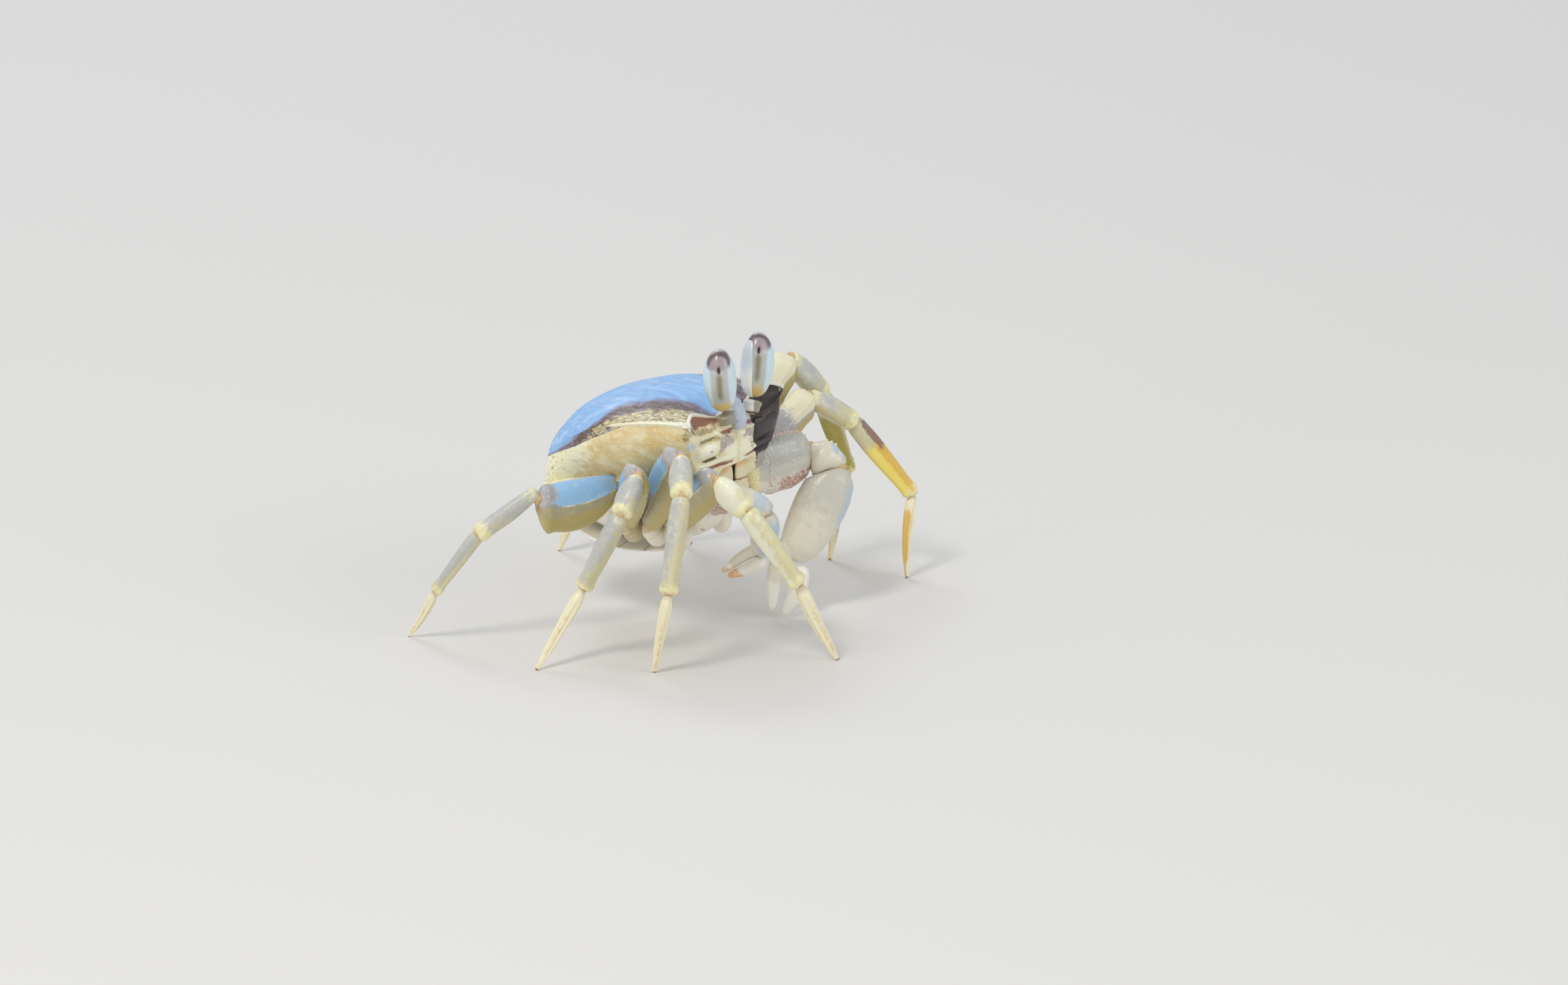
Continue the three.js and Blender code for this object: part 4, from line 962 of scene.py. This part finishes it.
tooth_spots = []
rng = np.random.default_rng(5)
for leg in LEG_NAMES:
    side = -1 if leg.startswith("right") else 1
    gold, hairy, pale = GOLD.get(leg, 0.15), HAIRY.get(leg, 0.25), PALE.get(leg, 0.0)
    # blue is how much painted sky reflection this leg's merus takes.
    blue = SKY_REFLECTION_SHARE.get(leg, 1)
    middles = middles_of(f"leg_{leg}", ("hip", "merus", "carpus", "propodus", "dactylus"))
    hinge = np.cross(middles["merus"] - middles["hip"], middles["dactylus"] - middles["merus"])

    hip = Limb(f"leg_{leg}_hip", np.array([side * 5, middles["hip"][1], 18]), (side, 0, -0.5))
    hip.push(-0.3 * hump(hip.along, 0.62, 0.07) + 0.15 * hump(hip.along, 0.75, 0.1))
    # The olive on the hips is painted shade under the body; right_3's hip takes it nearly all over.
    hip.finish(hip_finish, "underside", end=fade(0.82, 0.98, hip.along),
               olive=fade(0.3, 0.9, hip.along) * fade(0.5, -0.5, hip.up) + 0.9 * (leg == "right_3"))

    merus = Limb(f"leg_{leg}_merus", hip.outer, (0, LEAN.get(leg, 0), 1), square=0.18)
    along, up = merus.along, merus.up
    merus.push(0.25 * hump(np.abs(up), 1, 0.1)
               - 0.22 * hump(np.abs(merus.side), 0.8, 0.3) * hump(along, 0.5, 0.35)
               + 0.2 * hump(along, 0.9, 0.05) + 0.12 * hump(up, 0.3, 0.08) * fade(0.1, 0.3, along))
    merus.stretch(0.5)
    merus.lobes(0.3)
    sky_reflection_start = (0.02, 0.2) if leg == "right_4" else (0.2, 0.6)
    cream_start = (0.6, 0.9) if leg == "left_1" else (0.15, 0.45)
    knee = (0.4 if side < 0 else 1) * fade(0.84, 0.97, along) * fade(-0.6, 0.4, up)
    lilac = 1.2 * fade(-0.85, -0.5, up) * (leg == "left_1")
    merus.finish(
        merus_finish, "leg",
        face=fade(0.75, 0.3, up), top=np.maximum(fade(-0.1, 0.6, up), lilac),
        # Painted reflection of the sky on the upper face.
        sky=(fade(0.22, 0.42, up - 0.55 * fade(0.72, 0.98, along)) * fade(*sky_reflection_start, along)
             * (1 - fade(0.72, 0.95, along) * fade(0.6, 0.85, up)) * blue),
        # Olive-yellow lower edge and inner half, partly painted shade under the body.
        lower=fade(-0.62, -0.86, up) + 0.5 * fade(0.5, 0.1, along),
        end=knee + 1.5 * (1 - blue) * fade(*cream_start, along) * fade(-0.75, -0.3, up),
        rim=hump(up, 0.28, 0.09) * fade(0.97, 0.85, along), rust=0.8 * fade(0.95, 1, along))
    tooth_spots += teeth(merus, np.linspace(0.3, 0.93, 22), 1)
    tooth_spots += teeth(merus, np.linspace(0.35, 0.95, 18), -1)

    def outward(part, inner_part):
        """The way that the outer edge of a leg piece faces, square to the leg's own plane."""
        return np.cross(middles[part] - middles[inner_part], hinge)

    carpus = Limb(f"leg_{leg}_carpus", merus.outer, outward("carpus", "merus"), square=0.24)
    along, up = carpus.along, carpus.up
    carpus.push(0.18 * np.cos(3 * np.arccos(np.clip(up, -1, 1))) * hump(along, 0.5, 0.3)
                + 0.2 * hump(along, 0.88, 0.06) - 0.15 * fade(0.3, 0.0, along))
    carpus.stretch(0.5)
    carpus.lobes(0.3)
    carpus.finish(
        shank_finish, "leg", all=1, pale=pale, gold=0.4 * gold * fade(0.2, -0.6, up),
        lower=(0.7 * fade(-0.3, -0.9, up) + 0.2 * gold
               + 0.6 * fade(0.1, 0.8, -carpus.out[:, 1]) * fade(0.3, 0.7, along)),
        end=fade(0.66, 0.95, along) + 0.8 * fade(0.3, 0.05, along),
        rust=0.9 * fade(0.9, 1.0, along) + 0.8 * fade(0.08, 0, along))

    propodus = Limb(f"leg_{leg}_propodus", carpus.outer, outward("propodus", "carpus"), square=0.2)
    along, up = propodus.along, propodus.up
    propodus.push(0.13 * np.cos(4 * np.arctan2(propodus.side, up)) * fade(0.05, 0.3, along)
                  + 0.16 * hump(along, 0.95, 0.04) - 0.1 * fade(0.15, 0.0, along))
    propodus.stretch(0.4)
    propodus.lobes(0.3)
    is_gold = float(gold > 0.9)
    # left_2's propodus is olive: painted shade over its yellow, where it lies behind left_1.
    propodus.finish(
        shank_finish, "leg", all=1, pale=pale, olive=(leg == "left_2") * fade(0.1, 0.3, along),
        lower=(0.8 * fade(0.1, -0.75, up) + 0.6 * fade(0.4, 0.95, along)
               + 0.75 * fade(0.1, 0.8, -propodus.out[:, 1])),
        gold=gold * (fade(0.2, 0.5, along + 0.15 * up) + 0.3 * is_gold * fade(0.1, 0.3, along)),
        edge=gold * fade(0.1, -0.6, up) * fade(0.15, 0.4, along),
        brown=is_gold * 1.2 * hump(along, 0.2, 0.2) * fade(-0.5, 0.4, up) + 0.25 * hump(along, 0.35, 0.2),
        end=fade(0.8, 0.98, along) + 0.6 * fade(0.15, 0.02, along),
        rust=0.95 * fade(0.92, 1.0, along) + 0.7 * fade(0.06, 0, along))

    toe = Limb(f"leg_{leg}_dactylus", propodus.outer, outward("dactylus", "propodus"), fatten=1.09)
    along, up = toe.along, toe.up
    toe.push(0.12 * np.cos(6 * np.arctan2(toe.side, up)) * fade(0.04, 0.25, along) * fade(1.0, 0.7, along)
             - 0.2 * hump(along, 0.06, 0.05))
    toe.points[:, 2] = np.maximum(toe.points[:, 2], 0)
    toe.finish(
        toe_finish, "toe", start=fade(0.16, 0.0, along), point=fade(0.95, 1.0, along),
        edge=hump(np.abs(up), 1, 0.25) * fade(0.1, 0.4, along) * (0.6 + 0.4 * gold),
        gold=gold * fade(0.0, 0.3, along) * fade(1.0, 0.75, along) * fade(-0.2, 0.7, -up))

    for limb, most, start, end, longest in ((propodus, 26, 0.12, 0.95, 0.7), (toe, 34, 0.06, 0.78, 0.75)):
        count, length = int(most * (0.5 + hairy)), longest * (0.5 + 0.9 * hairy)
        for row in (-1, 1):
            grow_hairs(limb, count, start, end, row, length, 0.9, rng)

    size = 0.9 if leg.endswith("4") else 1.0
    gaps = ((hip, merus, 1.5), (merus, carpus, 1.45), (carpus, propodus, 1.3), (propodus, toe, 0.9))
    fill_joints(f"leg_{leg}_joint_skin",
                [(inner, outer, breadth * size, breadth * 0.72 * size) for inner, outer, breadth in gaps])

leg_teeth = lay_beads("leg_edge_teeth", tooth_spots, MERUS_TOOTH, squash=1)
tooth_finish = hard_finish("tooth finish", "#efe6cc", [("", "#d9c9a0", 0.4, 0.6, 0.6, 0.8, 0.6)])
set_in(leg_teeth, tooth_finish)

# ---- Claws ----
# The left claw is the large one: a broad white hand with a toothed lower finger grown with it and
# a movable one beside it. The right claw is slender. Both arms have saw-toothed edges.
claw_arm_finish = hard_finish("claw arm finish", "#cdcabd", [
    ("top", "#b7b6ab", 0.2, 0.9, 0.3, 1.4, 0.85),
    ("top", "#e2dfd2", 1.0, 1.6, 0.5, 0.8, 0.7),
    ("lower", "#efe6da", 0.3, 0.95, 0.3, 1.0, 0.85),
    ("cream", "#f1ead0", 0.3, 0.9, 0.35, 1.2, 0.9),
    ("rust", "#b06a58", 0.45, 1.2, 0.4, 0.7, 0.85),
    # Pale flecks in the red are painted glints.
    ("rust", "#ecd5cb", 1.0, 1.4, 0.6, 0.5, 0.85),
    ("end", "#f8eeb0", 0.4, 0.9, 0.25, 0.9, 0.95),
], roughness=0.22, gloss=1.0, grain=(0.6, 1.0))
hand_finish = hard_finish("hand finish", "#e0dac8", [
    ("start", "#c4c2b4", 0.3, 1.0, 0.3, 1.6, 0.8),
    ("blue", "#b4c7d8", 0.3, 0.9, 0.25, 1.8, 0.85),
    ("yellow", "#d9cfb0", 0.6, 1.4, 0.5, 1.1, 0.7),
    ("yellow", "#c99a68", 1.25, 1.7, 0.5, 0.8, 0.5),
    ("tipped", "#f7f4ea", 0.3, 0.9, 0.1, 1.0, 0.8),
    ("amber", "#d99c4c", 0.35, 0.9, 0.25, 1.0, 0.85),
], roughness=0.32, gloss=0.4, grain=(0.4, 0.4))

rust_spots, rust_sizes, wrist_spots, wrist_sizes = [], [], [], []


def remesh_node(node, voxel, smoothing, swell):
    """A finely and evenly meshed copy of a CAD node, smoothed and then swollen by `swell`. It comes
    with its points before the swelling, and its normals."""
    piece, _ = copy_node(node, node + "_shell")
    apply_modifier(piece, "REMESH", mode="VOXEL", voxel_size=voxel)
    apply_modifier(piece, "SMOOTH", factor=0.5, iterations=smoothing)
    face_outwards(piece)
    points, normals = read_points(piece), read_normals(piece)
    move_points(piece, points + normals * swell)
    return piece, points, normals


for hand, side, scale in (("left", 1, 1.0), ("right", -1, 0.62)):
    claw = f"claw_{hand}"
    amber_tips = hand == "right"
    middles = middles_of(claw, ("hip", "merus", "carpus", "palm", "finger"))
    hip = Limb(f"{claw}_hip", np.array([side * 5, -11.6, 20]), (side, -0.4, 0))
    hip.push(-0.3 * hump(hip.along, 0.6, 0.07))
    # The olive is painted shade under the body, as on the leg hips.
    hip.finish(hip_finish, "underside", olive=0.4 * fade(0.3, 0.9, hip.along),
               end=fade(0.8, 0.98, hip.along))

    arm = Limb(f"{claw}_merus", hip.outer, (0, 0, 1), levels=4, square=0.06)
    along, up = arm.along, arm.up
    arm.stretch(0.5 * scale)
    arm.push(0.3 * scale * hump(np.abs(up), 1, 0.12) + 0.3 * scale * hump(along, 0.9, 0.06)
             - 0.3 * fade(0.96, 1, along) + 0.08 * np.sin(along * 21) * fade(-0.3, -0.9, up))
    arm.finish(claw_arm_finish, "claw", top=fade(-0.3, 0.6, up), end=fade(0.24, 0.1, along),
               rust=0.6 * hump(along, 0.3, 0.07) + fade(-0.35, -0.8, up) * 0.95 * fade(0.3, 0.5, along),
               lower=fade(-0.2, -0.9, up))
    for on_up, count in ((1, 16), (-1, 20)):
        rust_spots += teeth(arm, np.linspace(0.3, 0.95, count), on_up)
        rust_sizes += [0.3 * scale + 0.05] * count

    wrist = Limb(f"{claw}_carpus", arm.outer, (side * 0.5, -0.5, 0.7), levels=4, square=0.08)
    along, up = wrist.along, wrist.up
    wrist.push(0.2 * scale * hump(along, 0.85, 0.1) - 0.2 * fade(0.15, 0, along))
    wrist.stretch(1.2 * scale)
    wrist.finish(hand_finish, "claw", start=0.4 * fade(0.5, 0, along), amber=0.5 * fade(0.75, 0.95, along),
                 blue=0.8 * fade(0.2, 0.9, up) * fade(0.3, 0.7, along),
                 yellow=0.7 + 0.4 * fade(0.6, 0.1, along))
    for place in (0.35, 0.5, 0.65):
        for on_up in (-1, 1):
            wrist_spots += teeth(wrist, [place], on_up)
            wrist_sizes.append(0.3 * scale)

    # The hand is one mass with its fixed finger, so it is remeshed finely and then worked over.
    palm_swell = 0.18 * scale
    palm, points, normals = remesh_node(f"{claw}_palm", 0.3 * MM * (0.75 + 0.25 * scale), 14, palm_swell)
    reach = np.linalg.norm(points - wrist.outer, axis=1)
    reach /= reach.max()
    axis = middles["finger"] - wrist.outer
    axis /= np.linalg.norm(axis)
    offset = points + normals * palm_swell - wrist.outer
    sideways = (offset - (offset @ axis)[:, None] * axis) @ (0.53 * side, -0.85, 0)
    sideways /= np.abs(sideways).max()
    stain(palm, start=fade(0.5, 0.08, reach) + 0.35 * fade(0.8, 0.5, reach),
          blue=fade(0.15, 0.75, sideways) * fade(0.95, 0.6, reach),
          yellow=0.8 * fade(0.2, -0.7, sideways) * fade(0.2, 0.5, reach) + 0.5 * fade(0.3, 0.1, reach),
          tipped=fade(0.7, 0.95, reach), amber=0.8 * amber_tips * fade(0.8, 0.97, reach))
    set_in(palm, hand_finish, f"{claw}_palm")

    finger, points, normals = remesh_node(f"{claw}_finger", 0.16 * MM, 10, 0.1)
    flat = np.array([-0.85, -0.53, 0.1]) if hand == "left" else np.array([-0.9, 0.1, 0.2])
    edge_on = 1 - np.abs(normals @ (flat / np.linalg.norm(flat)))
    reach = np.linalg.norm(points - wrist.outer, axis=1)
    reach = (reach - reach.min()) / (reach.max() - reach.min())
    stain(finger, blue=0.4 * fade(0.35, 0.9, edge_on), tipped=1,
          amber=0.9 * amber_tips * fade(0.35, 0.8, reach))
    set_in(finger, hand_finish, f"{claw}_finger")

    arm_skin, wrist_skin = 1.7 * scale + 0.3, 2.3 * scale
    fill_joints(f"{claw}_joint_skin",
                [(hip, arm, arm_skin, arm_skin * 0.8), (arm, wrist, wrist_skin, wrist_skin * 0.8)],
                [(wrist.outer, wrist.axis, 1.7 * scale, 1.6 * scale, wrist.upward)])

claw_teeth = lay_beads("claw_arm_teeth", rust_spots, rust_sizes, squash=1)
claw_tooth_finish = hard_finish("claw tooth finish", "#e8cfc0", [("", "#b0624c", 0.35, 0.6, 0.7, 0.9, 0.8)],
                                roughness=0.3)
set_in(claw_teeth, claw_tooth_finish)
wrist_teeth = lay_beads("claw_wrist_teeth", wrist_spots, wrist_sizes, squash=1)
set_in(wrist_teeth, tooth_finish)

# ---- Hairs ----
# Short stiff hairs of horn-like shell, in rows along the front and the rear of the outer leg
# pieces. They are longest on the second left leg.
hairs = lay_hairs("leg_hairs", hair_roots, hair_ways, hair_lengths)
hair_finish = hard_finish("hair finish", "#dccfa9", [("", "#b39e76", 0.4, 0.7, 0.6, 1.2, 0.7)],
                          roughness=0.6, gloss=0)
set_in(hairs, hair_finish)

# ---- Floor, light and camera ----
# A plain pale floor and soft studio lamps. The camera looks down a little on the crab's right
# front quarter through a long lens.
CAMERA_RISE = math.radians(16)
CAMERA_DISTANCE = 2.553  # metres
# How far the middle of the view lies to the right of the crab's own middle and above it, in mm.
VIEW_SHIFT = (23.16, 24.05)

floor, _ = add_shape(bpy.ops.mesh.primitive_circle_add, "floor", vertices=96, radius=6, fill_type="NGON")
floor_finish = bpy.data.materials.new("pale floor")
floor_finish.use_nodes = True
floor_look = floor_finish.node_tree.nodes["Principled BSDF"].inputs
floor_look["Base Color"].default_value = (0.78, 0.76, 0.73, 1)
floor_look["Roughness"].default_value = 0.8
floor.data.materials.append(floor_finish)

world = bpy.data.worlds.new("studio")
bpy.context.scene.world = world
world.use_nodes = True
world.node_tree.nodes["Background"].inputs["Color"].default_value = (0.93, 0.96, 1.0, 1)
world.node_tree.nodes["Background"].inputs["Strength"].default_value = 0.62

to_camera = Vector(GAZE) * math.cos(CAMERA_RISE) + Vector((0, 0, math.sin(CAMERA_RISE)))
to_right = Vector((-GAZE[1], GAZE[0], 0))
to_top = to_camera.cross(to_right)
home_point = Vector(HOME) * MM
aim = home_point + to_right * VIEW_SHIFT[0] * MM + to_top * VIEW_SHIFT[1] * MM


def add_lamp(name, towards, distance, size, watts, tint):
    lamp = bpy.data.lights.new(name, "AREA")
    lamp.shape = "DISK"
    lamp.size = size
    lamp.energy = watts
    lamp.color = tint
    holder = bpy.data.objects.new(name, lamp)
    bpy.context.collection.objects.link(holder)
    holder.location = home_point + Vector(towards).normalized() * distance
    holder.rotation_euler = (-Vector(towards)).to_track_quat("-Z", "Y").to_euler()


add_lamp("key", to_camera * 0.8 - to_right * 0.5 + Vector((0, 0, 1.0)), 1.2, 0.3, 4, (1, 0.97, 0.92))
add_lamp("fill", to_camera * 0.6 + to_right * 1.0 + Vector((0, 0, 0.4)), 1.4, 0.8, 3.2, (0.96, 0.98, 1))
add_lamp("side", to_camera * 0.8 - to_right * 0.6 + Vector((0, 0, -0.12)), 1.3, 0.3, 1.3, (1, 0.98, 0.95))
add_lamp("back", -to_camera * 1.0 - to_right * 0.4 + Vector((0, 0, 1.4)), 1.3, 0.5, 2.5, (0.9, 0.95, 1))

camera = bpy.data.cameras.new("camera")
camera.lens = 300
camera.sensor_width = 36
camera.clip_start = 0.05
camera.clip_end = 30
camera_holder = bpy.data.objects.new("camera", camera)
bpy.context.collection.objects.link(camera_holder)
camera_holder.location = aim + to_camera * CAMERA_DISTANCE
camera_holder.rotation_euler = to_camera.to_track_quat("Z", "Y").to_euler()
bpy.context.scene.camera = camera_holder
bpy.context.scene.view_settings.view_transform = "Standard"
